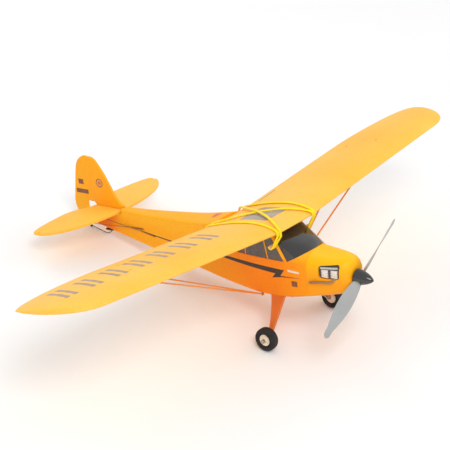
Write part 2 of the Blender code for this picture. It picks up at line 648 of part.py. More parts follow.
shares = [0, 0.08, 0.2, 0.35, 0.5, 0.65, 0.78, 0.88, 0.95, 1.0]
prop = rod("propeller", (0, HUB_Y - 3.5 * MM, 0), (0, HUB_Y + 3.5 * MM, 0), 6.5 * MM, grey_plastic,
           thrust_line)
for side in (1, -1):
    unite(prop, loft(f"blade_{side_name(side)}", [blade_ring(s, side) for s in shares],
                     parent=thrust_line))
cut(prop, rod("prop_bore", (0, -40 * MM, 0), (0, 10 * MM, 0), 1.9 * MM, parent=thrust_line))
prop_turn = Matrix.Rotation(BLADE_ANGLE, 4, "Y")

nose_profile = [(SPINNER_RADIUS * (1 - t ** 1.5) ** 0.65, SPINNER_BACK - SPINNER_LENGTH * t)
                for t in (0, 0.2, 0.4, 0.6, 0.78, 0.9, 0.97)]
spinner = spin("spinner", [(0, SPINNER_BACK), *nose_profile, (0, SPINNER_BACK - SPINNER_LENGTH)],
               (0, 0, 0), (0, 1, 0),
               dark_plastic, thrust_line, 20)
hollow = spin("spinner_hollow", [(0, SPINNER_BACK - 1.6 * MM),
                                 (SPINNER_RADIUS - 2.2 * MM, SPINNER_BACK - 1.6 * MM),
                                 (SPINNER_RADIUS - 3.4 * MM, SPINNER_BACK - 10.5 * MM),
                                 (0, SPINNER_BACK - 10.5 * MM)],
              (0, 0, 0), (0, 1, 0), None, thrust_line, 12)
window = box("spinner_window", (-20 * MM, HUB_Y - 5.6 * MM, -6.0 * MM),
             (20 * MM, HUB_Y + 5.6 * MM, 6.0 * MM),
             parent=thrust_line)
spinner_bore = rod("spinner_bore", (0, 0, 0), (0, -26 * MM, 0), 1.9 * MM, parent=thrust_line)
cut(spinner, hollow, window, spinner_bore)
for piece in tools.objects:
    if piece.name in ("spinner_window", "blade_left", "blade_right"):
        piece.data.transform(prop_turn)

# ---- wing ---------------------------------------------------------------------------------


def tip_limits(x):
    """Leading and trailing edge behind the straight leading edge, at a span station."""
    half = SPAN / 2
    u = max(0.0, (abs(x) - 0.85 * half) / (0.15 * half))
    w = max(0.0, (abs(x) - 0.617 * half) / (0.383 * half))
    front = TIP_Y * (1 - math.sqrt(max(0.0, 1 - u * u)))
    rear = TIP_Y + (CHORD - TIP_Y) * max(0.0, 1 - w ** 1.6) ** 0.55
    return front, rear


def wing_ring(x):
    front, rear = tip_limits(x)
    local = rear - front
    cuts = (0.0, 0.012, 0.05, 0.12, 0.22, 0.35, 0.5, 0.66, 0.82, 1.0)
    ring = []
    for top, order in ((True, cuts), (False, tuple(reversed(cuts[1:])))):
        for share in order:
            behind = front + share * local
            z = surface_z(x, behind / CHORD) + section_height(share, top) * local
            ring.append((x, WING_LE_Y + behind, z))
    return ring


half = SPAN / 2
wing_x = [CENTRE_HALF, *(half * f for f in (0.3, 0.5, 0.617, 0.7, 0.78, 0.85, 0.89, 0.925, 0.955, 0.978,
                                            0.992, 0.9985))]
wing = loft("wing", [wing_ring(x) for x in [*(-x for x in reversed(wing_x)), *wing_x]], foam_yellow)

SKYLIGHT = (0.255, 0.65)
sky_shares = [SKYLIGHT[0] + (SKYLIGHT[1] - SKYLIGHT[0]) * t / 6 for t in range(7)]


def skylight_outline(grow, rise_mm):
    low = [wing_point(0, s, True) for s in sky_shares]
    low[0].y -= grow
    low[-1].y += grow
    upper = [(p.y, p.z + rise_mm * MM) for p in low]
    lower = [(p.y, p.z - 1.0 * MM - grow) for p in reversed(low)]
    return upper + lower


SKY_HALF = 0.76 * CABIN_HALF
prism("skylight", skylight_outline(0, -0.1), "X", -SKY_HALF, SKY_HALF, smoke_panel)
cut(wing, prism("skylight_pocket", skylight_outline(GAP, 3.0), "X", -SKY_HALF - GAP, SKY_HALF + GAP))

# A carbon rod lies in a groove along each half of the underside, joined across the centre.
spar_share, spar_reach = 0.33, 0.62 * half


def spar_run(lift, reach):
    base = [wing_point(x, spar_share, False) for x in (-reach, -CENTRE_HALF, CENTRE_HALF, reach)]
    return [p + Vector((0, 0, lift)) for p in base]


wire("wing_spar", spar_run(1.9 * MM, spar_reach), 1.5 * MM, spar_carbon)
cut(wing, wire("spar_groove", spar_run(1.9 * MM, spar_reach + 1 * MM), 2.0 * MM),
    wire("spar_mouth", spar_run(0.2 * MM, spar_reach + 1 * MM), 1.9 * MM))

# Each side has one moulded V of two struts, held to the wing by a plastic bar with two studs.
STRUT_FOOT_Y = 152 * MM
FOOT_X = 0.83 * CABIN_HALF
FRONT_STUD, REAR_STUD = (0.634 * half, 0.40), (0.589 * half, 0.745)
for side in (1, -1):
    name = side_name(side)
    heads = [wing_point(side * x, share, False) for x, share in (FRONT_STUD, REAR_STUD)]
    foot = Vector((side * FOOT_X, STRUT_FOOT_Y, keel(STRUT_FOOT_Y) - 1.9 * MM))
    mount = wire(f"strut_mount_{name}", [heads[0] + Vector((0, -3 * MM, 1.2 * MM)),
                                         heads[1] + Vector((0, 3 * MM, 1.2 * MM))],
                 2.4 * MM, orange_plastic)
    pocket = wire(f"mount_pocket_{name}", [heads[0] + Vector((0, -4 * MM, 0.6 * MM)),
                                           heads[1] + Vector((0, 4 * MM, 0.6 * MM))],
                  3.5 * MM)
    cut(wing, pocket)
    for k, (x, share) in enumerate((FRONT_STUD, REAR_STUD)):
        top = wing_point(side * x, share, True)
        unite(mount, rod(f"stud_{name}_{k}", heads[k] + Vector((0, 0, 1 * MM)),
                         top - Vector((0, 0, 0.3 * MM)), 1.8 * MM,
                         segments=12))
        cut(wing, rod(f"stud_hole_{name}_{k}", heads[k] - Vector((0, 0, 2 * MM)),
                      top + Vector((0, 0, 4 * MM)), 2.3 * MM,
                      segments=12))
    ends = [h + (foot - h).normalized() * 6.2 * MM for h in heads]
    wire(f"wing_strut_{name}", [ends[0], foot + Vector((0, -1.5 * MM, 0)),
                                foot + Vector((0, 1.5 * MM, 0)), ends[1]],
                 1.5 * MM, orange_plastic)

rod("band_peg_front", PEG_FRONT - Vector((PEG_HALF, 0, 0)), PEG_FRONT + Vector((PEG_HALF, 0, 0)),
    PEG_RADIUS, wood)
rod("band_peg_rear", PEG_REAR - Vector((PEG_HALF, 0, 0)), PEG_REAR + Vector((PEG_HALF, 0, 0)),
    PEG_RADIUS, wood)


def hull(points):
    """Convex outline of points in a plane, anticlockwise."""
    points = sorted(points)
    chains = []
    for order in (points, points[::-1]):
        chain = []
        for p in order:
            while len(chain) > 1 and ((chain[-1][0] - chain[-2][0]) * (p[1] - chain[-2][1])
                                      - (chain[-1][1] - chain[-2][1]) * (p[0] - chain[-2][0])) <= 0:
                chain.pop()
            chain.append(p)
        chains.append(chain[:-1])
    return chains[0] + chains[1]


BAND_LIFT = 1.3 * MM
BAND_HALF_WIDTH, BAND_HALF_THICK = 1.9 * MM, 0.6 * MM


def band_path(lift):
    """Side view of a band: round the front peg, over the wing and round the rear peg."""
    section = []
    for share in [0.0, 0.006, 0.02, 0.05, 0.1, 0.17, 0.25, 0.35, 0.5, 0.65, 0.8, 0.92, 1.0]:
        for top in (True, False):
            here = wing_point(0, share, top)
            reach_y = -lift if share < 0.1 else lift if share > 0.95 else 0
            section.append((here.y + reach_y * (1 if share in (0.0, 1.0) else 0.6),
                            here.z + (lift if top else -lift)))
    loops = []
    for peg in (PEG_FRONT, PEG_REAR):
        loops.append([(peg.y + (PEG_RADIUS + BAND_LIFT) * math.cos(a),
                       peg.z + (PEG_RADIUS + BAND_LIFT) * math.sin(a))
                      for a in (math.tau * k / 16 for k in range(16))])
    outline = hull(section + loops[0] + loops[1])
    low_front = min((p for p in outline if p in loops[0]), key=lambda p: p[1])
    low_rear = min((p for p in outline if p in loops[1]), key=lambda p: p[1])
    i = outline.index(low_front)
    ordered = outline[i::-1] + outline[:i:-1]
    path = ordered[:ordered.index(low_rear) + 1]
    hook_front = [loops[0][k] for k in (0, 15, 14, 13)]
    hook_rear = [loops[1][k] for k in (11, 10, 9, 8)]
    return hook_front + path + hook_rear


def band(name, start_x, end_x, lift):
    path = band_path(lift)
    first, last = wing_point(0, 0, True).y, PEG_REAR.y
    turned = min(range(len(path)), key=lambda k: path[k][0])
    rings = []
    for i, (y, z) in enumerate(path):
        before, after = path[max(0, i - 1)], path[min(len(path) - 1, i + 1)]
        way = Vector((after[0] - before[0], after[1] - before[1])).normalized()
        out = Vector((-way.y, way.x))
        share = min(1.0, max(0.0, (y - first) / (last - first)))
        if i < turned:
            share = 0.0
        x = start_x + (end_x - start_x) * share
        rings.append([(x + a * BAND_HALF_WIDTH, y + out.x * b * BAND_HALF_THICK,
                       z + out.y * b * BAND_HALF_THICK)
                      for a, b in ((-1, -1), (1, -1), (1, 1), (-1, 1))])
    return loft(name, rings, band_yellow)


OUTER, INNER = PEG_HALF - 2.6 * MM, PEG_HALF - 7.2 * MM
band("rubber_band_left", OUTER, OUTER, BAND_LIFT + 0.5 * MM)
band("rubber_band_right", -OUTER, -OUTER, BAND_LIFT + 0.5 * MM)
band("rubber_band_cross_low", INNER, -INNER, BAND_LIFT + 0.2 * MM)
band("rubber_band_cross_high", -INNER, INNER, BAND_LIFT + 2.0 * MM)

# ---- undercarriage ------------------------------------------------------------------------

wire_z = keel(GEAR_Y) + GEAR_WIRE + 0.3 * MM
leg_top = Vector((0.84 * CABIN_HALF, 0, wire_z))
leg_foot = Vector((WHEEL_HALF_TRACK - TYRE_HALF_WIDTH - 3.6 * MM, 0, AXLE_Z))
down = (leg_foot - leg_top).normalized()
outward = Vector((-down.z, 0, down.x))
TOP_EDGE, FOOT_EDGE = (104.5 * MM, 133.5 * MM), (AXLE_Y - 3.6 * MM, AXLE_Y + 3.6 * MM)
shift = outward * (LEG_THICKNESS / 2 + GEAR_WIRE + GAP)
axle_end = WHEEL_HALF_TRACK + TYRE_HALF_WIDTH + 5.5 * MM
half_run = [Vector((axle_end, AXLE_Y, AXLE_Z)), Vector((leg_foot.x, AXLE_Y, AXLE_Z)),
            Vector((leg_top.x, GEAR_Y, wire_z))]
whole_run = half_run + [Vector((-p.x, p.y, p.z)) for p in reversed(half_run)]
gear_wire = wire("landing_gear_wire", whole_run, GEAR_WIRE, steel)
plate = box("landing_gear_plate", (-20 * MM, 102 * MM, keel(GEAR_Y) - 2.6 * MM),
            (20 * MM, 134 * MM, keel(GEAR_Y) - 1.1 * MM),
            orange_plastic)
tyre_profile = [(8.8, -4.2), (10.4, -4.4), (12.6, -6.6), (15.4, -7.5), (18.0, -6.2), (19.3, -2.6),
                (19.3, 2.6), (18.0, 6.2),
                (15.4, 7.5), (12.6, 6.6), (10.4, 4.4), (8.8, 4.2)]
wheel_scale = WHEEL_RADIUS / (19.3 * MM)
for side in (1, -1):
    name = side_name(side)
    edge_rings = []
    for point, (front_y, rear_y) in ((leg_top + down * 3 * MM, TOP_EDGE),
                                     (leg_foot - down * 2 * MM, FOOT_EDGE)):
        mid = point + shift
        inner, outer = mid - outward * LEG_THICKNESS / 2, mid + outward * LEG_THICKNESS / 2
        nose = 1.4 * MM
        edge_rings.append([(side * p.x, y, p.z) for p, y in (
            (inner, front_y + nose), (mid, front_y), (outer, front_y + nose), (outer, rear_y - nose),
                                                             (mid, rear_y),
            (inner, rear_y - nose))])
    loft(f"gear_leg_{name}", edge_rings, orange_plastic)
    hub_centre = Vector((side * WHEEL_HALF_TRACK, AXLE_Y, AXLE_Z))
    sized = [(r * MM * wheel_scale, a * MM) for r, a in tyre_profile]
    origin(spin(f"tyre_{name}", sized, hub_centre, (1, 0, 0), black_rubber, segments=24), hub_centre)
    hub = [(1.6, -6.4), (3.6, -6.4), (3.6, -4.8), (9.7, -5.6), (9.7, -4.7), (8.5, -4.6), (8.5, 4.6),
           (9.7, 4.7),
           (9.7, 5.6), (3.6, 4.8), (3.6, 6.4), (1.6, 6.4)]
    sized = [(r * MM * (wheel_scale if r > 4 else 1), a * MM) for r, a in hub]
    origin(spin(f"wheel_hub_{name}", sized, hub_centre, (1, 0, 0), white_plastic), hub_centre)
    collar = rod(f"axle_collar_{name}", (side * (WHEEL_HALF_TRACK + TYRE_HALF_WIDTH + 0.4 * MM), AXLE_Y,
                                         AXLE_Z),
                 (side * (axle_end - 1 * MM), AXLE_Y, AXLE_Z), 3 * MM, segments=12)
    unite(gear_wire, collar)

# ---- tail ---------------------------------------------------------------------------------


def tail_front(x):
    u = min(1.0, abs(x) / TAIL_HALF_SPAN)
    return ELEVATOR_HINGE_Y - 56 * MM + 64 * MM * (1 - math.sqrt(1 - u * u))


def tail_rear(x):
    u = min(1.0, abs(x) / TAIL_HALF_SPAN)
    return ELEVATOR_HINGE_Y + 8 * MM + 18 * MM * math.sqrt(1 - u ** 2.5)


PLATE_LOW, PLATE_HIGH = TAIL_Z - TAIL_PLATE / 2, TAIL_Z + TAIL_PLATE / 2
stab_rear = ELEVATOR_HINGE_Y - HINGE_HALF_GAP
elevator_front = ELEVATOR_HINGE_Y + HINGE_HALF_GAP
reach = TAIL_HALF_SPAN * math.sqrt(1 - (1 - (stab_rear - tail_front(0)) / (64 * MM)) ** 2)
spread = [reach * f for f in (0.12, 0.35, 0.55, 0.72, 0.85, 0.93, 0.98)]
stab_edge = [(0.0, tail_front(0)), *((x, tail_front(x)) for x in spread), (reach, stab_rear)]
stabilizer = prism("stabilizer", stab_edge + [(-x, y) for x, y in reversed(stab_edge[1:])], "Z",
                   PLATE_LOW, PLATE_HIGH,
                   foam_yellow)
soften(stabilizer, 1.0 * MM)

outer = TAIL_HALF_SPAN * 0.992
spread = [TAIL_HALF_SPAN * f for f in (0.49, 0.66, 0.8, 0.9, 0.96)]
elevator_edge = [(0.0, elevator_front + 5.2 * MM), (11 * MM, elevator_front + 5.2 * MM),
                 (28 * MM, tail_rear(0) - 8.5 * MM),
                 (48 * MM, tail_rear(0) - 2.5 * MM), *((x, tail_rear(x)) for x in spread),
                 (outer, ELEVATOR_HINGE_Y + 8 * MM), (outer - 0.8 * MM, elevator_front)]
elevator = prism("elevator", elevator_edge + [(-x, y) for x, y in reversed(elevator_edge[1:])], "Z",
                 PLATE_LOW,
                 PLATE_HIGH, foam_yellow)
soften(elevator, 1.0 * MM)
KNUCKLE, KNUCKLE_BORE, HINGE_PIN = 1.0 * MM, 0.7 * MM, 0.42 * MM
hinge_bore = rod("elevator_pin_bore", (-110 * MM, ELEVATOR_HINGE_Y, TAIL_Z),
                 (110 * MM, ELEVATOR_HINGE_Y, TAIL_Z),
                 KNUCKLE_BORE, segments=12)


def knuckle(owner, name, start, end, plate_side):
    """A short barrel round a hinge line with a web into the plate it belongs to."""
    start, end = Vector(start), Vector(end)
    web = plate_side * (HINGE_HALF_GAP + 1.5 * MM)
    low = Vector((min(start.x, end.x), min(start.y, start.y + web), min(start.z, end.z)))
    high = Vector((max(start.x, end.x), max(start.y, start.y + web), max(start.z, end.z)))
    thin = Vector((0, 0, KNUCKLE * 0.8)) if start.z == end.z else Vector((KNUCKLE * 0.8, 0, 0))
    unite(owner, rod(name, start, end, KNUCKLE, segments=12), box(name + "_web", low - thin, high + thin))


for side in (1, -1):
    for k, x in enumerate((0.21 * TAIL_HALF_SPAN, 0.62 * TAIL_HALF_SPAN)):
        where = Vector((0, ELEVATOR_HINGE_Y, TAIL_Z))
        knuckle(stabilizer, f"stab_knuckle_{side}_{k}", where + Vector((side * x, 0, 0)),
                where + Vector((side * (x + 6 * MM), 0, 0)), -1)
        knuckle(elevator, f"elevator_knuckle_{side}_{k}", where + Vector((side * (x + 6.5 * MM), 0, 0)),
                where + Vector((side * (x + 12.5 * MM), 0, 0)), 1)
cut(stabilizer, hinge_bore)
cut(elevator, hinge_bore)
origin(elevator, (0, ELEVATOR_HINGE_Y, TAIL_Z))
pin_half = 0.62 * TAIL_HALF_SPAN + 14 * MM
rod("elevator_hinge_pin", (-pin_half, ELEVATOR_HINGE_Y, TAIL_Z), (pin_half, ELEVATOR_HINGE_Y, TAIL_Z),
    HINGE_PIN, steel,
    segments=8)

fin_base = PLATE_HIGH + GAP
fin_scale = (FIN_TOP_Z - fin_base) / (84.4 * MM)
fin_rear = RUDDER_HINGE_Y - HINGE_HALF_GAP
rudder_front = RUDDER_HINGE_Y + HINGE_HALF_GAP


def fin_point(back, up):
    """A point by its distance ahead of the rudder hinge and its height over the fin's foot, in mm."""
    return RUDDER_HINGE_Y - back * MM, fin_base + up * MM * fin_scale


fin_outline = [(TAIL_ROOT_Y + GAP, fin_base), (TAIL_ROOT_Y + GAP, 43.6 * MM), fin_point(70, 4.6),
               fin_point(61, 8.2),
               fin_point(52, 18.2), fin_point(45.5, 29), fin_point(39, 41.2), fin_point(27.5, 60.5),
               fin_point(15, 77),
               fin_point(7, 82), (fin_rear, fin_point(0, 83.4)[1]), (fin_rear, fin_base)]
fin = prism("fin", fin_outline, "X", -TAIL_PLATE / 2, TAIL_PLATE / 2, foam_yellow)
soften(fin, 0.9 * MM)
rudder_outline = [(rudder_front, 6 * MM), (rudder_front, fin_point(0, 83.7)[1]), fin_point(-10.5, 84.4),
                  fin_point(-20.5, 80),
                  fin_point(-28, 72.5), fin_point(-33.5, 59.3), fin_point(-40.5, 28), fin_point(-46, 1),
                  (RUDDER_HINGE_Y + 44.5 * MM, 29 * MM),
                  (RUDDER_HINGE_Y + 40.5 * MM, 21 * MM), (RUDDER_HINGE_Y + 32 * MM, 12 * MM),
                  (RUDDER_HINGE_Y + 21 * MM, 7.4 * MM)]
rudder = prism("rudder", rudder_outline, "X", -TAIL_PLATE / 2, TAIL_PLATE / 2, foam_yellow)
soften(rudder, 0.9 * MM)
notch_y = ELEVATOR_HINGE_Y
notch = prism("joiner_notch", [(notch_y - 3 * MM, fin_base - 1 * MM),
                               (notch_y + 9.5 * MM, fin_base + 3.4 * MM),
                               (notch_y + 24 * MM, fin_base + 5.2 * MM), (notch_y + 24 * MM, 30.6 * MM),
                               (notch_y + 9.4 * MM, 31.2 * MM)], "X", -20 * MM, 20 * MM)
cut(fin, notch)
cut(rudder, notch)
rudder_bore = rod("rudder_pin_bore", (0, RUDDER_HINGE_Y, fin_point(0, 4)[1]),
                  (0, RUDDER_HINGE_Y, fin_point(0, 76)[1]),
                  KNUCKLE_BORE, segments=12)
for k, up in enumerate((14, 56)):
    low_z = fin_point(0, up)[1]
    knuckle(fin, f"fin_knuckle_{k}", (0, RUDDER_HINGE_Y, low_z), (0, RUDDER_HINGE_Y, low_z + 6 * MM), -1)
    knuckle(rudder, f"rudder_knuckle_{k}", (0, RUDDER_HINGE_Y, low_z + 6.5 * MM),
            (0, RUDDER_HINGE_Y, low_z + 12.5 * MM), 1)
cut(fin, rudder_bore)
cut(rudder, rudder_bore)
origin(rudder, (0, RUDDER_HINGE_Y, fin_base))
rod("rudder_hinge_pin", (0, RUDDER_HINGE_Y, fin_point(0, 9)[1]),
    (0, RUDDER_HINGE_Y, fin_point(0, 72)[1]), HINGE_PIN, steel,
    segments=8)

# Horns: a foot on the moving plate and an arm with a slot over the rod's bent end.
horn_x = ELEVATOR_HORN.x + 1.1 * MM
hy, hz = ELEVATOR_HINGE_Y, PLATE_LOW - GAP
elevator_horn = prism("elevator_horn", [(hy + 1.7 * MM, hz), (hy + 11 * MM, hz),
                                        (hy + 3.0 * MM, ELEVATOR_HORN.z - 3.4 * MM),
                                        (hy - 2.6 * MM, ELEVATOR_HORN.z - 3.4 * MM),
                                        (hy - 2.6 * MM, ELEVATOR_HORN.z + 3.2 * MM)],
                      "X", horn_x, horn_x + 1.3 * MM, white_plastic)
unite(elevator_horn, box("elevator_horn_foot", (horn_x - 2.4 * MM, hy + 1.5 * MM, hz - 1 * MM),
                         (horn_x + 3.7 * MM, hy + 11.6 * MM, hz + 0.05 * MM)))
cut(elevator_horn, box("elevator_horn_slot",
                       (horn_x - 9 * MM, hy - 1.15 * MM, ELEVATOR_HORN.z - 2.0 * MM),
                       (horn_x + 9 * MM, hy + 1.15 * MM, ELEVATOR_HORN.z + 2.0 * MM)))
origin(elevator_horn, (0, ELEVATOR_HINGE_Y, TAIL_Z))
horn_z = RUDDER_HORN.z + 1.1 * MM
ry, rx = RUDDER_HINGE_Y, -TAIL_PLATE / 2 - GAP
rudder_horn = prism("rudder_horn", [(rx, ry + 1.8 * MM), (rx, ry + 11 * MM),
                                    (RUDDER_HORN.x + 2 * MM, ry + 2.8 * MM),
                                    (RUDDER_HORN.x - 3.4 * MM, ry + 2.6 * MM),
                                    (RUDDER_HORN.x - 3.4 * MM, ry - 2.4 * MM),
                                    (RUDDER_HORN.x + 3.2 * MM, ry - 2.4 * MM), (-6 * MM, ry)], "Z",
                    horn_z, horn_z + 1.3 * MM,
                    white_plastic)
unite(rudder_horn, box("rudder_horn_foot", (rx - 1 * MM, ry + 1.6 * MM, horn_z - 1.6 * MM),
                       (rx + 0.05 * MM, ry + 11.6 * MM, horn_z + 3 * MM)))
cut(rudder_horn, box("rudder_horn_slot", (RUDDER_HORN.x - 2.0 * MM, ry - 1.15 * MM, horn_z - 9 * MM),
                     (RUDDER_HORN.x + 2.0 * MM, ry + 1.15 * MM, horn_z + 9 * MM)))
origin(rudder_horn, (0, RUDDER_HINGE_Y, fin_base))

# Tail skid: a sprung wire from a block under the tail, ending in the bead it stands on.
skid_y = aft(0.91)
skid_top = keel(skid_y - 7 * MM) - GAP
skid = box("tail_skid", (-3.5 * MM, skid_y - 7 * MM, skid_top - 3.2 * MM),
           (3.5 * MM, skid_y + 9 * MM, skid_top - 0.4 * MM), black_rubber)
dip = SKID_END.z - 7.8 * MM
skid_wire = wire("skid_wire", [(0, skid_y - 3 * MM, skid_top - 2 * MM),
                               (0, skid_y + 1 * MM, dip + 2.6 * MM), (0, skid_y + 8 * MM, dip),
                               (0, skid_y + 18 * MM, dip + 1.0 * MM),
                               (0, SKID_END.y - 10 * MM, SKID_END.z - 2.2 * MM), tuple(SKID_END)],
                 0.8 * MM)
bead = spin("skid_bead", [(SKID_FOOT * math.cos(math.radians(a)) if abs(a) < 90 else 0.0,
                           SKID_FOOT * math.sin(math.radians(a)))
                          for a in range(-90, 91, 30)], SKID_END, (1, 0, 0), segments=12)
unite(skid, skid_wire, bead)

# Turn the propeller to its resting angle, then set the origin under the middle of the box.
prop.data.transform(prop_turn)
bpy.context.view_layer.update()
graph = bpy.context.evaluated_depsgraph_get()
corners = []
for piece in parts.objects:
    if piece.type == "MESH":
        solid = piece.evaluated_get(graph)
        corners += [solid.matrix_world @ vertex.co for vertex in solid.data.vertices]
low = [min(c[k] for c in corners) for k in range(3)]
high = [max(c[k] for c in corners) for k in range(3)]
datum.location = (-(low[0] + high[0]) / 2, -(low[1] + high[1]) / 2, -low[2])
bpy.context.view_layer.update()
print("box", [round((b - a) * 1000, 1) for a, b in zip(low, high)], "pitch",
      round(math.degrees(PITCH), 2))
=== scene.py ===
import json
import math
import bpy
import bmesh
from mathutils import Matrix, Vector


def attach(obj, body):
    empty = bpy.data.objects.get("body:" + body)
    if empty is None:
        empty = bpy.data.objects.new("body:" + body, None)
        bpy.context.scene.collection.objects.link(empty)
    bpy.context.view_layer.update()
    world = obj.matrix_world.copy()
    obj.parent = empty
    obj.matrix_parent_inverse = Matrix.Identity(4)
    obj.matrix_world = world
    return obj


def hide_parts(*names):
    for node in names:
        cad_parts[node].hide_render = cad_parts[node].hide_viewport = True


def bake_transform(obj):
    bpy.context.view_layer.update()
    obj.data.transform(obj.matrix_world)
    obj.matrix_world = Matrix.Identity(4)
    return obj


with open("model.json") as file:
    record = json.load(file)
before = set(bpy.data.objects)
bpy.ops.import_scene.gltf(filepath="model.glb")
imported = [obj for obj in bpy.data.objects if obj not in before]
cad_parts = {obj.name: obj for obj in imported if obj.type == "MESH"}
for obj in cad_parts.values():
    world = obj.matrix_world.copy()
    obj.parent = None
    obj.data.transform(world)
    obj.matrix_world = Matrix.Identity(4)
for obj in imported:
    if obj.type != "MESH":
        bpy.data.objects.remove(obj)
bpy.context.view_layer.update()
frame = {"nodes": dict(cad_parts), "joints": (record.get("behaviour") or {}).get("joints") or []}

mm = 0.001

# the airplane's own axes: X to the left wing tip, Y from the shaft to the tail, Z up, in millimetres.
joints = {j["name"]: j for j in frame["joints"]}
noseAt = Vector(joints["prop_spin"]["pos_m"])
upWay = Vector(joints["rudder_hinge"]["axis"])
shaftWay = Vector(joints["prop_spin"]["axis"])
airplane = Matrix.Translation(noseAt) @ Matrix.Rotation(-math.atan2(upWay.y, upWay.z), 4, "X")
thrust = Matrix.Translation(noseAt) @ Matrix.Rotation(math.atan2(shaftWay.z, shaftWay.y), 4, "X")
toAirplane = airplane.inverted()


def inAirplane(rowPoint):
    return (toAirplane @ Vector(rowPoint)) / mm


main = {
    "halfSpan": 470.0, "chord": 132.0, "wingStart": 98.7, "wingHeight": 66.0, "wingDrop": 9.3,
    "tipRise": 41.0, "flatHalf": 40.5, "section": 0.11, "cabinHalf": 36.5, "tailPost": 521.0,
    "cowlSplit": 61.2, "seam": 0.12,
}
main["wingEnd"] = main["wingStart"] + main["chord"]
elevatorLine = inAirplane(joints["elevator_hinge"]["pos_m"])
rudderLine = inAirplane(joints["rudder_hinge"]["pos_m"])
wheelAt = inAirplane(joints["wheel_left_spin"]["pos_m"])
sides = {"left": 1, "right": -1}
print("frame loaded")


# making pieces

def dress(obj, finish, body, stands=()):
    # gives a piece its finish and its body, and hides the CAD nodes it stands for
    if finish is not None:
        obj.data.materials.clear()
        obj.data.materials.append(finish)
    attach(obj, body)
    if stands:
        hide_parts(*stands)
    return obj


def newPiece(name, points, faces, place=None, sharp=35):
    data = bpy.data.meshes.new(name)
    data.from_pydata([tuple(Vector(p) * mm) for p in points], [], faces)
    data.transform(place or airplane)
    tidy(data, sharp)
    obj = bpy.data.objects.new(name, data)
    bpy.context.scene.collection.objects.link(obj)
    return obj


def tidy(data, sharp=35):
    work = bmesh.new()
    work.from_mesh(data)
    bmesh.ops.remove_doubles(work, verts=work.verts, dist=2e-6)
    bmesh.ops.recalc_face_normals(work, faces=work.faces)
    work.to_mesh(data)
    work.free()
    data.shade_smooth()
    data.set_sharp_from_angle(angle=math.radians(sharp))


def skin(name, rings, place=None, sharp=35, closeEnds=True):
    # a closed skin over rings that all have the same number of points
    count = len(rings[0])
    points = [p for ring in rings for p in ring]
    faces = []
    for r in range(len(rings) - 1):
        for k in range(count):
            here, there = r * count + k, r * count + (k + 1) % count
            faces.append((here, there, there + count, here + count))
    if closeEnds:
        faces.append(tuple(range(count)))
        faces.append(tuple(range(len(points) - count, len(points))))
    return newPiece(name, points, faces, place, sharp)


def turned(name, profile, centre, axis, place=None, steps=64, sharp=35):
    # a turned piece: (radius, along) points about an axis, closed on itself
    axis = Vector(axis).normalized()
    side = axis.orthogonal().normalized()
    other = axis.cross(side)
    rings = []
    for k in range(steps):
        a = math.tau * k / steps
        out = side * math.cos(a) + other * math.sin(a)
        rings.append([Vector(centre) + out * r + axis * h for r, h in profile])
    return skin(name, rings + [rings[0]], place, sharp, False)


def tube(name, path, radius, place=None, sides=16, squash=1.0, flatWay=None, sharp=50):
    # a round or oval rod along a path; radius may be a number or one for each point
    path = [Vector(p) for p in path]
    sizes = radius if isinstance(radius, list) else [radius] * len(path)
    way = (path[1] - path[0]).normalized()
    side = (Vector(flatWay) if flatWay else way.orthogonal())
    rings = []
    for i, (p, r) in enumerate(zip(path, sizes)):
        way = (path[min(i + 1, len(path) - 1)] - path[max(i - 1, 0)]).normalized()
        side = (side - way * side.dot(way)).normalized()
        other = way.cross(side)
        rings.append([p + side * r * math.cos(math.tau * k / sides)
                      + other * r * squash * math.sin(math.tau * k / sides) for k in range(sides)])
    return skin(name, rings, place, sharp)


def smoothPath(points, steps=6):
    # a curve through the points, with the end points kept
    points = [Vector(p) for p in points]
    ends = [points[0] * 2 - points[1], *points, points[-1] * 2 - points[-2]]
    path = []
    for a, b, c, d in zip(ends, ends[1:], ends[2:], ends[3:]):
        for k in range(steps):
            t = k / steps
            path.append(0.5 * ((2 * b) + (c - a) * t + (2 * a - 5 * b + 4 * c - d) * t * t
                               + (3 * b - a - 3 * c + d) * t ** 3))
    return path + [points[-1]]


def slab(name, outline, axis, low, high, place=None, sharp=35):
    # an outline made solid between two heights on an axis; the outline is in the other two, in order
    def point(a, b, h):
        return {"X": (h, a, b), "Y": (a, h, b), "Z": (a, b, h)}[axis]
    return skin(name, [[point(a, b, h) for a, b in outline] for h in (low, high)], place, sharp)


def block(name, low, high, place=None):
    outline = [(low[0], low[1]), (high[0], low[1]), (high[0], high[1]), (low[0], high[1])]
    return slab(name, outline, "Z", low[2], high[2], place)


def shape(obj, sharp=35):
    # makes the modifiers part of the mesh
    bpy.context.view_layer.update()
    graph = bpy.context.evaluated_depsgraph_get()
    data = bpy.data.meshes.new_from_object(obj.evaluated_get(graph))
    obj.modifiers.clear()
    obj.data = data
    tidy(data, sharp)
    return obj


def carve(obj, *cutters, way="DIFFERENCE", keep=False, sharp=35):
    for cutter in cutters:
        cut = obj.modifiers.new("cut", "BOOLEAN")
        cut.operation = way
        cut.object = cutter
    shape(obj, sharp)
    if not keep:
        for cutter in cutters:
            bpy.data.objects.remove(cutter)
    return obj


def roundEdges(obj, width, steps=3, angle=35):
    edge = obj.modifiers.new("round", "BEVEL")
    edge.width = width * mm
    edge.segments = steps
    edge.limit_method = "ANGLE"
    edge.angle_limit = math.radians(angle)
    return shape(obj, 60)


def joined(name, *objs):
    # one piece from several that touch or stand apart
    first = objs[0]
    first.name = name
    work = bmesh.new()
    for obj in objs:
        part = obj.data.copy()
        work.from_mesh(part)
    work.to_mesh(first.data)
    work.free()
    for obj in objs[1:]:
        bpy.data.objects.remove(obj)
    first.data.shade_smooth()
    first.data.set_sharp_from_angle(angle=math.radians(40))
    return first


# finishes

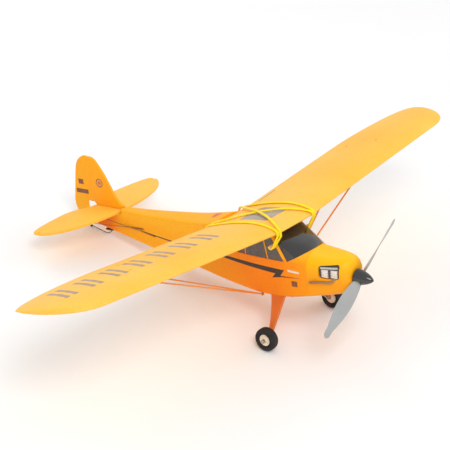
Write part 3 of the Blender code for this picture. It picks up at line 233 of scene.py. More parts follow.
def nodesOf(name):
    finish = bpy.data.materials.new(name)
    finish.use_nodes = True
    tree = finish.node_tree
    shader = next(n for n in tree.nodes if n.type == "BSDF_PRINCIPLED")
    coords = tree.nodes.new("ShaderNodeTexCoord")
    where = tree.nodes.new("ShaderNodeMapping")
    where.inputs["Location"].default_value = toAirplane.translation
    where.inputs["Rotation"].default_value = toAirplane.to_euler()
    tree.links.new(coords.outputs["Object"], where.inputs["Vector"])
    return finish, tree, shader, where.outputs["Vector"]


def noiseOf(tree, where, scale, detail=3.0, rough=0.5):
    made = tree.nodes.new("ShaderNodeTexNoise")
    made.inputs["Scale"].default_value = scale
    made.inputs["Detail"].default_value = detail
    made.inputs["Roughness"].default_value = rough
    tree.links.new(where, made.inputs["Vector"])
    return made.outputs["Fac"]


def spread(tree, value, fromLow, fromHigh, toLow, toHigh):
    made = tree.nodes.new("ShaderNodeMapRange")
    for key, number in (("From Min", fromLow), ("From Max", fromHigh), ("To Min", toLow), ("To Max", toHigh)):
        made.inputs[key].default_value = number
    tree.links.new(value, made.inputs["Value"])
    return made.outputs["Result"]


def blendOf(tree, share, first, second):
    made = tree.nodes.new("ShaderNodeMix")
    made.data_type = "RGBA"
    for k, colour in ((6, first), (7, second)):
        if isinstance(colour, tuple):
            made.inputs[k].default_value = (*colour, 1)
        else:
            tree.links.new(colour, made.inputs[k])
    tree.links.new(share, made.inputs[0])
    return made.outputs[2]


def bumpOf(tree, shader, height, strength, depth):
    made = tree.nodes.new("ShaderNodeBump")
    made.inputs["Strength"].default_value = strength
    made.inputs["Distance"].default_value = depth
    tree.links.new(height, made.inputs["Height"])
    tree.links.new(made.outputs["Normal"], shader.inputs["Normal"])
    return made


def mouldedFoam(name, look):
    # bead foam from a mould: faint cells in the skin, painted shade in the seams between them, slow drifts of
    # colour, fades of painted light and shade where the look has them, and a soft sheen
    finish, tree, shader, where = nodesOf(name)
    drift = spread(tree, noiseOf(tree, where, 9, 3), 0.32, 0.68, 0, 1)
    cells = tree.nodes.new("ShaderNodeTexVoronoi")
    cells.feature = "SMOOTH_F1"
    cells.inputs["Scale"].default_value = look["beads"]
    cells.inputs["Smoothness"].default_value = 0.35
    tree.links.new(where, cells.inputs["Vector"])
    beads = cells.outputs["Distance"]
    base = blendOf(tree, drift, look["colour"], look["drift"])
    # fades along or up the part: painted light and painted shade laid over the foam's colour
    for axis, start, end, shade in look.get("paintedShading", ()):
        apart = tree.nodes.new("ShaderNodeSeparateXYZ")
        tree.links.new(where, apart.inputs[0])
        base = blendOf(tree, spread(tree, apart.outputs[axis], start, end, 0, 1), base, shade)
    # the seams between the cells darkened as painted shade
    seamShade = spread(tree, beads, 0.45, 0.75, 0, look["seamShade"])
    tree.links.new(blendOf(tree, seamShade, base, look["shadedSeamColour"]), shader.inputs["Base Color"])
    grain = noiseOf(tree, where, 900, 2)
    tree.links.new(spread(tree, grain, 0.3, 0.7, look["rough"] - 0.05, look["rough"] + 0.07),
                   shader.inputs["Roughness"])
    both = tree.nodes.new("ShaderNodeMath")
    both.operation = "MULTIPLY_ADD"
    tree.links.new(grain, both.inputs[0])
    both.inputs[1].default_value = 0.25
    tree.links.new(spread(tree, beads, 0, 0.8, 1, 0), both.inputs[2])
    bumpOf(tree, shader, both.outputs[0], look["relief"], 0.0004)
    shader.inputs["Subsurface Weight"].default_value = 0.06
    shader.inputs["Subsurface Radius"].default_value = (0.004, 0.002, 0.0008)
    shader.inputs["Specular IOR Level"].default_value = look.get("shine", 0.42)
    return finish


def mouldedPlastic(name, look):
    # injection-moulded plastic: even colour with slow drifts, fine orange peel and rubbed patches
    finish, tree, shader, where = nodesOf(name)
    drift = spread(tree, noiseOf(tree, where, 30, 4), 0.3, 0.7, 0, 1)
    tree.links.new(blendOf(tree, drift, look["colour"], look["drift"]), shader.inputs["Base Color"])
    rub = noiseOf(tree, where, look["grain"], 5, 0.6)
    tree.links.new(spread(tree, rub, 0.3, 0.7, look["rough"][0], look["rough"][1]), shader.inputs["Roughness"])
    bumpOf(tree, shader, rub, look["relief"], 0.0002)
    shader.inputs["Metallic"].default_value = look.get("metal", 0.0)
    shader.inputs["Coat Weight"].default_value = look.get("coat", 0.0)
    shader.inputs["Coat Roughness"].default_value = 0.05
    shader.inputs["Specular IOR Level"].default_value = look.get("shine", 0.5)
    return finish


def softRubber(name, look):
    # rubber: dusty high spots, pores and a dry surface
    finish, tree, shader, where = nodesOf(name)
    dust = spread(tree, noiseOf(tree, where, 120, 6, 0.65), 0.4, 0.75, 0, look["dusty"])
    tree.links.new(blendOf(tree, dust, look["colour"], look["dust"]), shader.inputs["Base Color"])
    pores = tree.nodes.new("ShaderNodeTexVoronoi")
    pores.inputs["Scale"].default_value = look["pores"]
    tree.links.new(where, pores.inputs["Vector"])
    bumpOf(tree, shader, pores.outputs["Distance"], look["relief"], 0.0003)
    tree.links.new(spread(tree, dust, 0, 1, look["rough"], look["rough"] + 0.15), shader.inputs["Roughness"])
    shader.inputs["Specular IOR Level"].default_value = 0.35
    return finish


def bareWire(name, look):
    # drawn wire and turned metal: fine lines along one way, a little dull in places
    finish, tree, shader, where = nodesOf(name)
    lines = tree.nodes.new("ShaderNodeMapping")
    lines.inputs["Scale"].default_value = look["lines"]
    tree.links.new(where, lines.inputs["Vector"])
    streaks = noiseOf(tree, lines.outputs["Vector"], 60, 4)
    tree.links.new(blendOf(tree, streaks, look["colour"], look["drift"]), shader.inputs["Base Color"])
    tree.links.new(spread(tree, streaks, 0.3, 0.7, look["rough"], look["rough"] + 0.18),
                   shader.inputs["Roughness"])
    shader.inputs["Metallic"].default_value = 1.0
    bumpOf(tree, shader, streaks, 0.15, 0.0001)
    return finish


def birchWood(name, look):
    # rings stretched along the grain, with pale rays
    finish, tree, shader, where = nodesOf(name)
    along = tree.nodes.new("ShaderNodeMapping")
    along.inputs["Scale"].default_value = look["along"]
    tree.links.new(where, along.inputs["Vector"])
    grain = noiseOf(tree, along.outputs["Vector"], 260, 5, 0.6)
    tree.links.new(blendOf(tree, spread(tree, grain, 0.35, 0.65, 0, 1), look["colour"], look["drift"]),
                   shader.inputs["Base Color"])
    shader.inputs["Roughness"].default_value = 0.55
    bumpOf(tree, shader, grain, 0.2, 0.0002)
    return finish


def printedFilm(name, look):
    # thin printed film: the print is a little uneven, and it takes the foam's fine relief
    finish, tree, shader, where = nodesOf(name)
    uneven = spread(tree, noiseOf(tree, where, 140, 4, 0.6), 0.35, 0.65, 0, 1)
    tree.links.new(blendOf(tree, uneven, look["colour"], look["drift"]), shader.inputs["Base Color"])
    shader.inputs["Roughness"].default_value = look["rough"]
    cells = tree.nodes.new("ShaderNodeTexVoronoi")
    cells.inputs["Scale"].default_value = 330
    tree.links.new(where, cells.inputs["Vector"])
    bumpOf(tree, shader, cells.outputs["Distance"], 0.05, 0.0003)
    return finish


# one yellow foam in lit and shaded copies: the wing look is lighter, painted light on faces turned up; the
# side, tail and cowl looks are darker and redder, painted shade on upright faces
foamLooks = {
    "wing": {"colour": (1.0, 0.50, 0.035), "drift": (1.0, 0.565, 0.075), "shadedSeamColour": (0.86, 0.36, 0.012),
             "beads": 330, "seamShade": 0.16, "rough": 0.5, "relief": 0.10},
    "side": {"colour": (0.93, 0.235, 0.002), "drift": (0.97, 0.27, 0.004), "shadedSeamColour": (0.78, 0.17, 0.002),
             "beads": 330, "seamShade": 0.16, "rough": 0.5, "relief": 0.08, "shine": 0.2,
             # side fades: painted shadow of the wing, darkest under its front; lighter ahead of it, behind it
             # and towards the top as painted light; darker under the tail plane as its painted shadow
             "paintedShading": ((1, 0.17, 0.33, (1.0, 0.40, 0.004)), (1, 0.12, 0.06, (0.98, 0.33, 0.003)),
                       (2, 0.018, 0.03, (1.0, 0.44, 0.01)), (1, 0.462, 0.49, (0.92, 0.20, 0.004)))},
    "cowl": {"colour": (0.96, 0.33, 0.001), "drift": (1.0, 0.37, 0.002), "shadedSeamColour": (0.84, 0.24, 0.001),
             "beads": 300, "seamShade": 0.06, "rough": 0.42, "relief": 0.04, "shine": 0.25,
             # cowl fade: lighter towards the top, as painted light
             "paintedShading": ((2, -0.005, 0.03, (1.0, 0.52, 0.0)),)},
    "tail": {"colour": (1.0, 0.385, 0.004), "drift": (1.0, 0.43, 0.008), "shadedSeamColour": (0.84, 0.28, 0.003),
             "beads": 330, "seamShade": 0.16, "rough": 0.5, "relief": 0.10, "shine": 0.2},
}
# the same foam as lit and shaded copies: painted light on the wing and tail plane, painted shade on the
# fuselage sides, cowl, fin and rudder
litTopFoam = mouldedFoam("litTopFoam", foamLooks["wing"])
shadedSideFoam = mouldedFoam("shadedSideFoam", foamLooks["side"])
litAndShadedCowlFoam = mouldedFoam("litAndShadedCowlFoam", foamLooks["cowl"])
shadedUprightTailFoam = mouldedFoam("shadedUprightTailFoam", foamLooks["tail"])

plasticLooks = {
    "glaze": {"colour": (0.012, 0.010, 0.010), "drift": (0.02, 0.017, 0.016), "grain": 25,
              "rough": (0.05, 0.13), "relief": 0.02, "coat": 0.8},
    "window": {"colour": (0.085, 0.075, 0.07), "drift": (0.11, 0.10, 0.092), "grain": 60, "rough": (0.22, 0.34),
               "relief": 0.03, "coat": 0.2},
    "roof": {"colour": (0.36, 0.285, 0.235), "drift": (0.42, 0.335, 0.28), "grain": 50, "rough": (0.16, 0.28),
             "relief": 0.03, "coat": 0.35},
    "spinner": {"colour": (0.016, 0.015, 0.014), "drift": (0.028, 0.026, 0.025), "grain": 40,
                "rough": (0.10, 0.22), "relief": 0.02, "coat": 0.6},
    "blade": {"colour": (0.36, 0.365, 0.36), "drift": (0.42, 0.425, 0.415), "grain": 200, "rough": (0.3, 0.42),
              "relief": 0.05, "metal": 0.25},
    # leg: darker and redder than the foam, painted shade on the gear fairings and the gear plate
    "leg": {"colour": (0.62, 0.125, 0.012), "drift": (0.70, 0.155, 0.02), "grain": 160, "rough": (0.36, 0.46),
            "relief": 0.04},
    "strut": {"colour": (0.80, 0.25, 0.035), "drift": (0.86, 0.30, 0.05), "grain": 160, "rough": (0.36, 0.48),
              "relief": 0.04},
    "hub": {"colour": (0.80, 0.69, 0.54), "drift": (0.86, 0.76, 0.62), "grain": 180, "rough": (0.34, 0.5),
            "relief": 0.04},
    "head": {"colour": (0.88, 0.82, 0.74), "drift": (0.78, 0.70, 0.62), "grain": 220, "rough": (0.35, 0.5),
             "relief": 0.05},
    "engineDark": {"colour": (0.05, 0.042, 0.038), "drift": (0.075, 0.065, 0.06), "grain": 200,
                   "rough": (0.3, 0.45), "relief": 0.05},
    "engineBar": {"colour": (0.55, 0.53, 0.50), "drift": (0.63, 0.61, 0.58), "grain": 150, "rough": (0.2, 0.34),
                  "relief": 0.04, "metal": 0.55},
    "exhaust": {"colour": (0.33, 0.20, 0.10), "drift": (0.42, 0.28, 0.15), "grain": 240, "rough": (0.3, 0.5),
                "relief": 0.06, "metal": 0.5},
    "nylon": {"colour": (0.80, 0.78, 0.73), "drift": (0.86, 0.84, 0.79), "grain": 220, "rough": (0.35, 0.48),
              "relief": 0.04},
    "grey": {"colour": (0.24, 0.24, 0.235), "drift": (0.30, 0.30, 0.29), "grain": 200, "rough": (0.4, 0.55),
             "relief": 0.05},
    "dark": {"colour": (0.022, 0.022, 0.024), "drift": (0.036, 0.035, 0.037), "grain": 200,
             "rough": (0.3, 0.45), "relief": 0.05},
    "sleeve": {"colour": (0.03, 0.09, 0.36), "drift": (0.045, 0.12, 0.42), "grain": 120, "rough": (0.2, 0.36),
               "relief": 0.05, "coat": 0.3},
    "carbon": {"colour": (0.018, 0.018, 0.02), "drift": (0.045, 0.045, 0.05), "grain": 500, "rough": (0.3, 0.5),
               "relief": 0.08},
}
paint = {key: mouldedPlastic(key + "Plastic", look) for key, look in plasticLooks.items()}

rubberLooks = {
    "tyre": {"colour": (0.012, 0.011, 0.011), "dust": (0.06, 0.052, 0.045), "dusty": 0.5, "pores": 1400,
             "relief": 0.3, "rough": 0.72},
    "band": {"colour": (1.0, 0.72, 0.0), "dust": (1.0, 0.80, 0.01), "dusty": 0.8, "pores": 900,
             "relief": 0.1, "rough": 0.42},
    "skid": {"colour": (0.02, 0.015, 0.012), "dust": (0.09, 0.06, 0.045), "dusty": 0.5, "pores": 1000,
             "relief": 0.15, "rough": 0.6},
}
rubber = {key: softRubber(key + "Rubber", look) for key, look in rubberLooks.items()}
springSteel = bareWire("springSteel", {"colour": (0.55, 0.54, 0.52), "drift": (0.42, 0.41, 0.40),
                                       "lines": (1, 12, 1), "rough": 0.22})
rodSteel = bareWire("rodSteel", {"colour": (0.22, 0.16, 0.11), "drift": (0.30, 0.23, 0.17),
                                 "lines": (12, 1, 12), "rough": 0.3})
birch = birchWood("birch", {"colour": (0.72, 0.46, 0.22), "drift": (0.58, 0.34, 0.15), "along": (0.05, 1, 1)})
filmLooks = {
    "stripe": {"colour": (0.034, 0.017, 0.009), "drift": (0.045, 0.024, 0.014), "rough": 0.4},
    "wingMark": {"colour": (0.40, 0.255, 0.17), "drift": (0.46, 0.30, 0.20), "rough": 0.45},
    "white": {"colour": (0.80, 0.70, 0.58), "drift": (0.86, 0.78, 0.66), "rough": 0.4},
    "red": {"colour": (0.72, 0.07, 0.035), "drift": (0.80, 0.10, 0.05), "rough": 0.4},
    "brown": {"colour": (0.20, 0.055, 0.012), "drift": (0.26, 0.075, 0.02), "rough": 0.42},
    "tan": {"colour": (0.70, 0.33, 0.06), "drift": (0.76, 0.38, 0.09), "rough": 0.45},
}
film = {key: printedFilm(key + "Film", look) for key, look in filmLooks.items()}
print("finishes ready")


# the wing

wing = {
    "spanSteps": 34, "tipSteps": 26, "chordSteps": 30, "tipFrom": 0.80, "tipEnd": 0.9985,
    "tipBow": 0.70 * 132.0, "frontStud": (0.634, 0.40), "rearStud": (0.589, 0.745), "studHole": 2.3,
    "spar": 0.33, "sparReach": 0.62, "edge": 0.35,
}


def wingLine(x, share):
    out = max(0.0, abs(x) - main["flatHalf"]) / (main["halfSpan"] - main["flatHalf"])
    return main["wingHeight"] + main["tipRise"] * out - main["wingDrop"] * share


def wingSection(share, top):
    bend, at = 0.04, 0.4
    half = 5 * main["section"] * (0.2969 * math.sqrt(share) - 0.1260 * share - 0.3516 * share ** 2
                                  + 0.2843 * share ** 3 - 0.1036 * share ** 4) + 0.004 * share
    if share < at:
        camber = bend / at ** 2 * (2 * at * share - share ** 2)
    else:
        camber = bend / (1 - at) ** 2 * (1 - 2 * at + 2 * at * share - share ** 2)
    return camber + half if top else camber - half


def wingEdges(x):
    # front and rear edge behind the straight front edge, bowed in at the tips
    out = abs(x) / main["halfSpan"]
    u = max(0.0, (out - 0.85) / 0.15)
    w = max(0.0, (out - 0.617) / 0.383)
    bow = wing["tipBow"]
    front = bow * (1 - math.sqrt(max(0.0, 1 - u * u)))
    rear = bow + (main["chord"] - bow) * max(0.0, 1 - w ** 1.6) ** 0.55
    return front, rear


def wingHeight(x, behind, top=True):
    front, rear = wingEdges(x)
    local = rear - front
    share = min(1.0, max(0.0, (behind - front) / local))
    return wingLine(x, behind / main["chord"]) + wingSection(share, top) * local


def wingRing(x):
    front, rear = wingEdges(x)
    steps = wing["chordSteps"]
    shares = [(1 - math.cos(math.pi * k / steps)) / 2 for k in range(steps + 1)]
    ring = []
    for top, order in ((True, shares), (False, shares[-1:0:-1])):
        for share in order:
            behind = front + share * (rear - front)
            height = wingLine(x, behind / main["chord"]) + wingSection(share, top) * (rear - front)
            ring.append((x, main["wingStart"] + behind, height))
    return ring


def wingStations():
    half = main["halfSpan"]
    inner = [main["flatHalf"] + (wing["tipFrom"] * half - main["flatHalf"]) * k / wing["spanSteps"]
             for k in range(wing["spanSteps"])]
    first, last = wing["tipFrom"], wing["tipEnd"]
    turn = [math.sin(math.pi / 2 * k / wing["tipSteps"]) for k in range(wing["tipSteps"] + 1)]
    right = inner + [half * (first + (last - first) * t) for t in turn]
    return [-x for x in reversed(right)] + right


roof = {"front": 0.255, "rear": 0.65, "half": 27.7, "gap": 0.35, "sunk": 1.0, "steps": 24, "corner": 3.0}


def roofPanel(name, grow, low, high):
    steps = roof["steps"]
    start = roof["front"] * main["chord"] - grow
    end = roof["rear"] * main["chord"] + grow
    rings = []
    for k in range(steps + 1):
        behind = start + (end - start) * k / steps
        y, z = main["wingStart"] + behind, wingHeight(0, behind)
        half = roof["half"] + grow
        corner = roof["corner"] + grow
        into = min(k, steps - k) / steps * (end - start)
        if into < corner:
            half -= corner - math.sqrt(corner ** 2 - (corner - into) ** 2)
        rings.append([(-half, y, z + low), (half, y, z + low), (half, y, z + high), (-half, y, z + high)])
    return skin(name, rings)


def underPoint(x, share, lift=0.0):
    behind = share * main["chord"]
    return Vector((x, main["wingStart"] + behind, wingHeight(x, behind, False) + lift))


def makeWing():
    panel = skin("wing_panel", [wingRing(x) for x in wingStations()], sharp=50)
    cutters = [roofPanel("roof_pocket", roof["gap"], -roof["sunk"] - 0.2, 6.0)]
    half = main["halfSpan"]
    reach = wing["sparReach"] * half + 1
    groove = [underPoint(x, wing["spar"], 1.6) for x in (-reach, -main["flatHalf"], main["flatHalf"], reach)]
    cutters.append(tube("spar_groove", groove, 2.0))
    for side in (1, -1):
        studs = [underPoint(side * at * half, share) for at, share in (wing["frontStud"], wing["rearStud"])]
        ends = [studs[0] + Vector((0, -4, 0.6)), studs[1] + Vector((0, 4, 0.6))]
        cutters.append(tube(f"mount_pocket_{side}", ends, 3.5))
        for k, stud in enumerate(studs):
            cutters.append(tube(f"stud_hole_{side}_{k}", [stud - Vector((0, 0, 2)), stud + Vector((0, 0, 26))],
                                wing["studHole"], sides=32))
    carve(panel, *cutters, sharp=32)
    return dress(panel, litTopFoam, "airframe", ("wing",))


def makeRoof():
    panel = roofPanel("skylight_panel", 0.0, -roof["sunk"], -0.1)
    roundEdges(panel, 0.25, 2, 50)
    return dress(panel, paint["roof"], "airframe", ("skylight",))


makeWing()
makeRoof()
print("wing made")

# the fuselage

# station, half width over the cabin's, ridge, shoulder, chine, keel, roundness of the top
hullStations = [
    (-4, 0.36, 17, 2, -4, -13, 2.2), (-2.6, 0.50, 23.3, 3, -5, -18, 2.2), (1, 0.62, 28.5, 4, -8, -21.5, 2.2),
    (8, 0.71, 31, 6, -12, -24, 2.2), (25, 0.81, 33.2, 8, -17, -28, 2.2), (45, 0.88, 34.8, 9, -22, -32, 2.2),
    (61, 0.92, 35.7, 10, -26, -35, 2.2), (80, 0.96, 43.3, 22, -31, -38.5, 2.6),
    (95, 0.985, 49.2, 36, -34, -41, 3.0), (110, 1.0, 55.2, 48, -36, -42.6, 4.0),
    (122, 1.0, 61.5, 58, -37, -43.3, 5.0), (150, 0.985, 64, 61, -37.5, -43.6, 6.0),
    (198, 0.89, 64, 60, -34, -39.8, 6.0), (230.7, 0.79, 61.5, 55, -31, -36.8, 2.0),
    (259.7, 0.70, 57.3, 51, -27.5, -33, 1.7), (288.8, 0.61, 53.5, 46.5, -23.5, -29.5, 1.7),
    (330.9, 0.51, 49.7, 43, -19, -24, 1.7), (390.4, 0.375, 45, 40, -11.5, -16, 1.7),
    (439.7, 0.275, 42.6, 38.5, -4, -8, 1.7), (484.7, 0.19, 41.6, 36.5, 3, -0.8, 1.7),
    (521, 0.125, 41, 35.5, 8, 5, 1.7),
]
hull = {
    "wall": 4.5, "topSteps": 18, "bottomSteps": 14, "noseStep": 3.0, "step": 7.0, "windowSill": 18.6,
    "windowHead": 54.0, "hatch": (142.0, 214.0), "hatchHalf": 19.0, "wireAt": 115.0, "pegFront": (112.5, 44.0),
    "pegRear": (244.7, 38.0), "pegRadius": 2.5, "pegHalf": 48.5, "bottomPower": 3.0,
}


def slopes():
    # slopes at the stations that keep the curve between them from overshooting
    rows = []
    for low, high in zip(hullStations, hullStations[1:]):
        rows.append([(b - a) / (high[0] - low[0]) for a, b in zip(low, high)])
    made = [rows[0]]
    for before, after in zip(rows, rows[1:]):
        made.append([0.0 if a * b <= 0 else 2 * a * b / (a + b) for a, b in zip(before, after)])
    return made + [rows[-1]]


hullSlopes = slopes()


def hullAt(y):
    k = 0
    while k < len(hullStations) - 2 and y > hullStations[k + 1][0]:
        k += 1
    low, high = hullStations[k], hullStations[k + 1]
    wide = high[0] - low[0]
    t = (y - low[0]) / wide
    row = []
    for c in range(1, 7):
        row.append((2 * t ** 3 - 3 * t ** 2 + 1) * low[c] + (t ** 3 - 2 * t ** 2 + t) * wide * hullSlopes[k][c]
                   + (3 * t ** 2 - 2 * t ** 3) * high[c] + (t ** 3 - t ** 2) * wide * hullSlopes[k + 1][c])
    return row[0] * main["cabinHalf"], *row[1:]


def hullRing(y, inset=0.0):
    width, ridge, shoulder, chine, bottom, power = hullAt(y)
    width, ridge, bottom = width - inset, ridge - inset, bottom + inset
    half = []
    steps = hull["topSteps"]
    for i in range(steps):
        t = math.pi / 2 * (1 - i / steps)
        half.append((width * math.cos(t) ** (2 / power) if i else 0.0,
                     shoulder + (ridge - shoulder) * math.sin(t) ** (2 / power)))
    steps = hull["bottomSteps"]
    for i in range(steps + 1):
        t = math.pi / 2 * i / steps
        last = i == steps
        half.append((0.0 if last else width * math.cos(t) ** (2 / hull["bottomPower"]),
                     chine + (bottom - chine) * math.sin(t) ** (2 / hull["bottomPower"])))
    return [(x, y, z) for x, z in half + [(-x, z) for x, z in reversed(half[1:-1])]]


def hullBody(name, inset, start, end):
    stations = [start]
    while stations[-1] < end - 1e-6:
        step = hull["noseStep"] if stations[-1] < 130 else hull["step"]
        stations.append(min(end, stations[-1] + step))
    if stations[0] < 0:
        stations = [start, *(start + 0.4 * k for k in range(1, 6)), *(y for y in stations if y > start + 2.4)]
    return skin(name, [hullRing(y, inset) for y in stations], sharp=40)


def sideAt(y, z):
    # half width of the hull at a station and a height
    width, ridge, shoulder, chine, bottom, power = hullAt(y)
    if z > shoulder:
        return width * max(0.0, 1 - ((z - shoulder) / (ridge - shoulder)) ** power) ** (1 / power)
    if z < chine:
        power = hull["bottomPower"]
        return width * max(0.0, 1 - ((chine - z) / (chine - bottom)) ** power) ** (1 / power)
    return width


def screenWedge(name, shrink):
    low = (61.0 + 0.1 * shrink, 36.0 + shrink)
    foot = (94.2 - 0.6 * shrink, 18.9 + 1.1 * shrink)
    head = (115.0 - 1.1 * shrink, 60.0)
    return slab(name, [low, foot, head, (head[0], 90), (40, 90), (40, 47)], "X", -60, 60)


def wingSaddle(name, gap):
    start, end = main["wingStart"], main["wingEnd"] + 0.6
    line = [(start + s * main["chord"], wingHeight(0, s * main["chord"], False) - gap)
            for s in (0.02, 0.05, 0.08, 0.12, 0.16, 0.22, 0.3, 0.4, 0.5, 0.62, 0.75, 0.88, 1.0)]
    line = [(line[0][0] - 3, line[0][1]), *line, (end, line[-1][1])]
    return slab(name, [*line, (end, 90), (line[0][0], 90)], "X", -70, 70)


def windowShape(grow):
    sill, head = hull["windowSill"], hull["windowHead"]
    return [(99.8 - grow, sill - grow), (191 + grow, sill - grow), (196 + grow, head + grow),
            (118.6 - grow, head + grow)]


def pegRod(name, at, radius, reach):
    return tube(name, [(-reach, *at), (reach, *at)], radius, sides=32)


def rodRun(joint, hornAt, start, end):
    # points on a push rod's straight line, from its joint's axis
    way = (toAirplane.to_3x3() @ Vector(joints[joint]["axis"])).normalized()
    horn = Vector(hornAt)
    return [horn + way * ((y - horn.y) / way.y) for y in (start, end)]


elevatorHorn = (-14.5, elevatorLine.y, elevatorLine.z - 11.0)
rudderHorn = (-12.5, rudderLine.y, 8.0)
plateHalf = 2.5


def makeFuselage():
    for name, side in sides.items():
        half = hullBody(f"fuselage_shell_{name}", 0, main["cowlSplit"] + 0.2, main["tailPost"])
        seam = main["seam"]
        awayFrom, awayTo = (-120, seam) if side > 0 else (-seam, 120)
        away = block("other_side", (awayFrom, -50, -120), (awayTo, 600, 120))
        window = slab("window_recess", windowShape(0.4), "X", *sorted((side * 20, side * 60)))
        carve(window, hullBody("window_floor", 1.9, 70, 225))
        start, end = hull["hatch"]
        hatch = block("hatch_hole", (-hull["hatchHalf"], start, -60), (hull["hatchHalf"], end, -28))
        keel = hullAt(hull["wireAt"])[4]
        groove = block("wire_groove", (-32.8, hull["wireAt"] - 1.8, -70),
                       (32.8, hull["wireAt"] + 1.8, keel + 3.1))
        seat = block("tail_seat", (-60, 456.0, elevatorLine.z - plateHalf - 0.3), (60, 560, 90))
        swing = block("elevator_swing", (-60, elevatorLine.y, elevatorLine.z - 6.2), (60, 560, 90))
        cutters = [hullBody("hollow", hull["wall"], 2, 399), away, screenWedge("screen_hole", 0),
                   wingSaddle("saddle", 0.3), window, hatch, groove, seat, swing,
                   pegRod("front_hole", hull["pegFront"], hull["pegRadius"] + 0.3, 90),
                   pegRod("rear_hole", hull["pegRear"], hull["pegRadius"] + 0.3, 90)]
        if side < 0:
            for joint, horn in (("elevator_rod_slide", elevatorHorn), ("rudder_rod_slide", rudderHorn)):
                cutters.append(tube("rod_slot", rodRun(joint, horn, 335.2, 515.2), 2.0))
        carve(half, *cutters, sharp=32)
        dress(half, shadedSideFoam, "airframe", (f"fuselage_{name}",))


def makeCowl():
    cowl = hullBody("cowl_shell", 0, -4, main["cowlSplit"])
    cutters = [hullBody("hollow", hull["wall"], 2, 399),
               tube("nose_hole", [(0, -12, 0), (0, 8, 0)], 8.0, thrust, 48)]
    for name, side in sides.items():
        recess = slab("engine_recess", engineShape(0), "X", *sorted((side * 12, side * 50)))
        roundEdges(recess, 4.5, 5, 60)
        carve(recess, hullBody("engine_floor", 3.2, -2, 56))
        cutters.append(recess)
        bends = exhaustBends(side)
        for start, end in zip(bends, bends[1:]):
            more = (end - start).normalized() * 2
            cutters.append(tube("exhaust_slot", [start - more, end + more], 2.3, sides=24))
    carve(cowl, *cutters, sharp=32)
    dress(cowl, litAndShadedCowlFoam, "airframe", ("nose_cowl",))


engine = {
    "front": 8.0, "rear": 41.5, "low": 1.0, "highFront": 23.5, "highRear": 19.5, "floor": 2.9,
    "heads": (16.6, 31.4), "headHalf": (5.8, 6.6), "headLow": 3.4, "headHigh": 13.4, "fins": 5,
    "bar": (15.2, 18.6), "barAt": (11.0, 17, 24, 31, 38.5), "exhaust": 1.7,
}


def engineShape(grow):
    e = engine
    return [(e["front"] - grow, e["low"] - grow), (e["rear"] + grow, e["low"] - grow),
            (e["rear"] + grow, e["highRear"] + grow), (e["front"] - grow, e["highFront"] + grow)]


def exhaustBends(side):
    inner = hullAt(25)[0] - 1.0
    return [Vector((side * (inner - 2.5), 15, 2.6)), Vector((side * (hullAt(20)[0] + 1.6), 20, -3.4)),
            Vector((side * (hullAt(56)[0] + 2.6), 56, -6.8))]


def cylinderHead(name, side, y):
    # a cylinder head as a stack of rounded fins round a core, with a bolt in its face
    e = engine
    parts = []
    for k in range(e["fins"]):
        z = e["headLow"] + (e["headHigh"] - e["headLow"]) * k / (e["fins"] - 1)
        out = sideAt(y, z) - 0.6
        fin = block("fin", (out - 3.2, y - e["headHalf"][0], z - 0.75), (out, y + e["headHalf"][0], z + 0.75))
        roundEdges(fin, 0.7, 3)
        parts.append(fin)
    out = sideAt(y, e["headLow"]) - 1.3
    core = block("core", (out - 2.6, y - e["headHalf"][0] + 1.2, e["headLow"]),
                 (out, y + e["headHalf"][0] - 1.2, e["headHigh"]))
    parts.append(roundEdges(core, 0.8, 3))
    middle = (e["headLow"] + e["headHigh"]) / 2
    face = sideAt(y, middle) - 0.9
    profile = [(0, -1.5), (1.6, -1.5), (1.6, 0.2), (1.1, 0.6), (0, 0.6)]
    parts.append(turned("bolt", profile, (face, y, middle), (1, 0, 0), steps=24))
    head = joined(name, *parts)
    if side < 0:
        head.data.transform(Matrix.Scale(-1, 4, (1, 0, 0)))
        head.data.flip_normals()
    return head


def makeEngines():
    e = engine
    for name, side in sides.items():
        reach = sorted((side * 12, side * 50))
        plate = slab(f"engine_back_{name}", engineShape(-0.4), "X", *reach)
        roundEdges(plate, 4.2, 5, 60)
        carve(plate, hullBody("plate_face", 2.3, -2, 56), way="INTERSECT")
        carve(plate, hullBody("plate_back", e["floor"], -3, 58))
        dress(plate, paint["engineDark"], "airframe", (f"dummy_engine_{name}",))
        for k, y in enumerate(e["heads"]):
            dress(cylinderHead(f"cylinder_head_{name}_{k}", side, y), paint["head"], "airframe")
        low, high = e["bar"]
        middle = (low + high) / 2
        line = [Vector((side * (sideAt(y, middle) - 1.7), y, middle + 0.9 - 0.05 * (y - 10)))
                for y in e["barAt"]]
        bar = tube(f"valve_cover_{name}", smoothPath(line, 6), (high - low) / 2, squash=0.62, flatWay=(0, 0, 1))
        dress(bar, paint["engineBar"], "airframe")
        bends = exhaustBends(side)
        path = smoothPath([bends[0], bends[1], (bends[1] + bends[2]) / 2, bends[2]], 8)
        pipe = tube(f"exhaust_pipe_{name}", path, e["exhaust"], sides=24)
        end = bends[2]
        bore = tube("bore", [end - Vector((0, 6, 0)), end + Vector((0, 2, 0))], 1.1, sides=24)
        carve(pipe, bore)
        dress(pipe, paint["exhaust"], "airframe")


def makeGlazing():
    screen = hullBody("windscreen_glazing", 0.05, 58, 121)
    carve(screen, screenWedge("screen_keep", 0.3), way="INTERSECT")
    carve(screen, hullBody("screen_back", 1.3, 50, 130), wingSaddle("saddle", 0.35), sharp=40)
    dress(screen, paint["glaze"], "airframe", ("windscreen",))
    for name, side in sides.items():
        pane = slab(f"window_pane_{name}", windowShape(0), "X", *sorted((side * 20, side * 60)))
        carve(pane, hullBody("pane_front", 0.55, 70, 225), way="INTERSECT")
        carve(pane, hullBody("pane_back", 1.5, 70, 225), pegRod("peg", hull["pegFront"], 2.8, 90))
        dress(pane, paint["window"], "airframe", (f"side_window_{name}",))


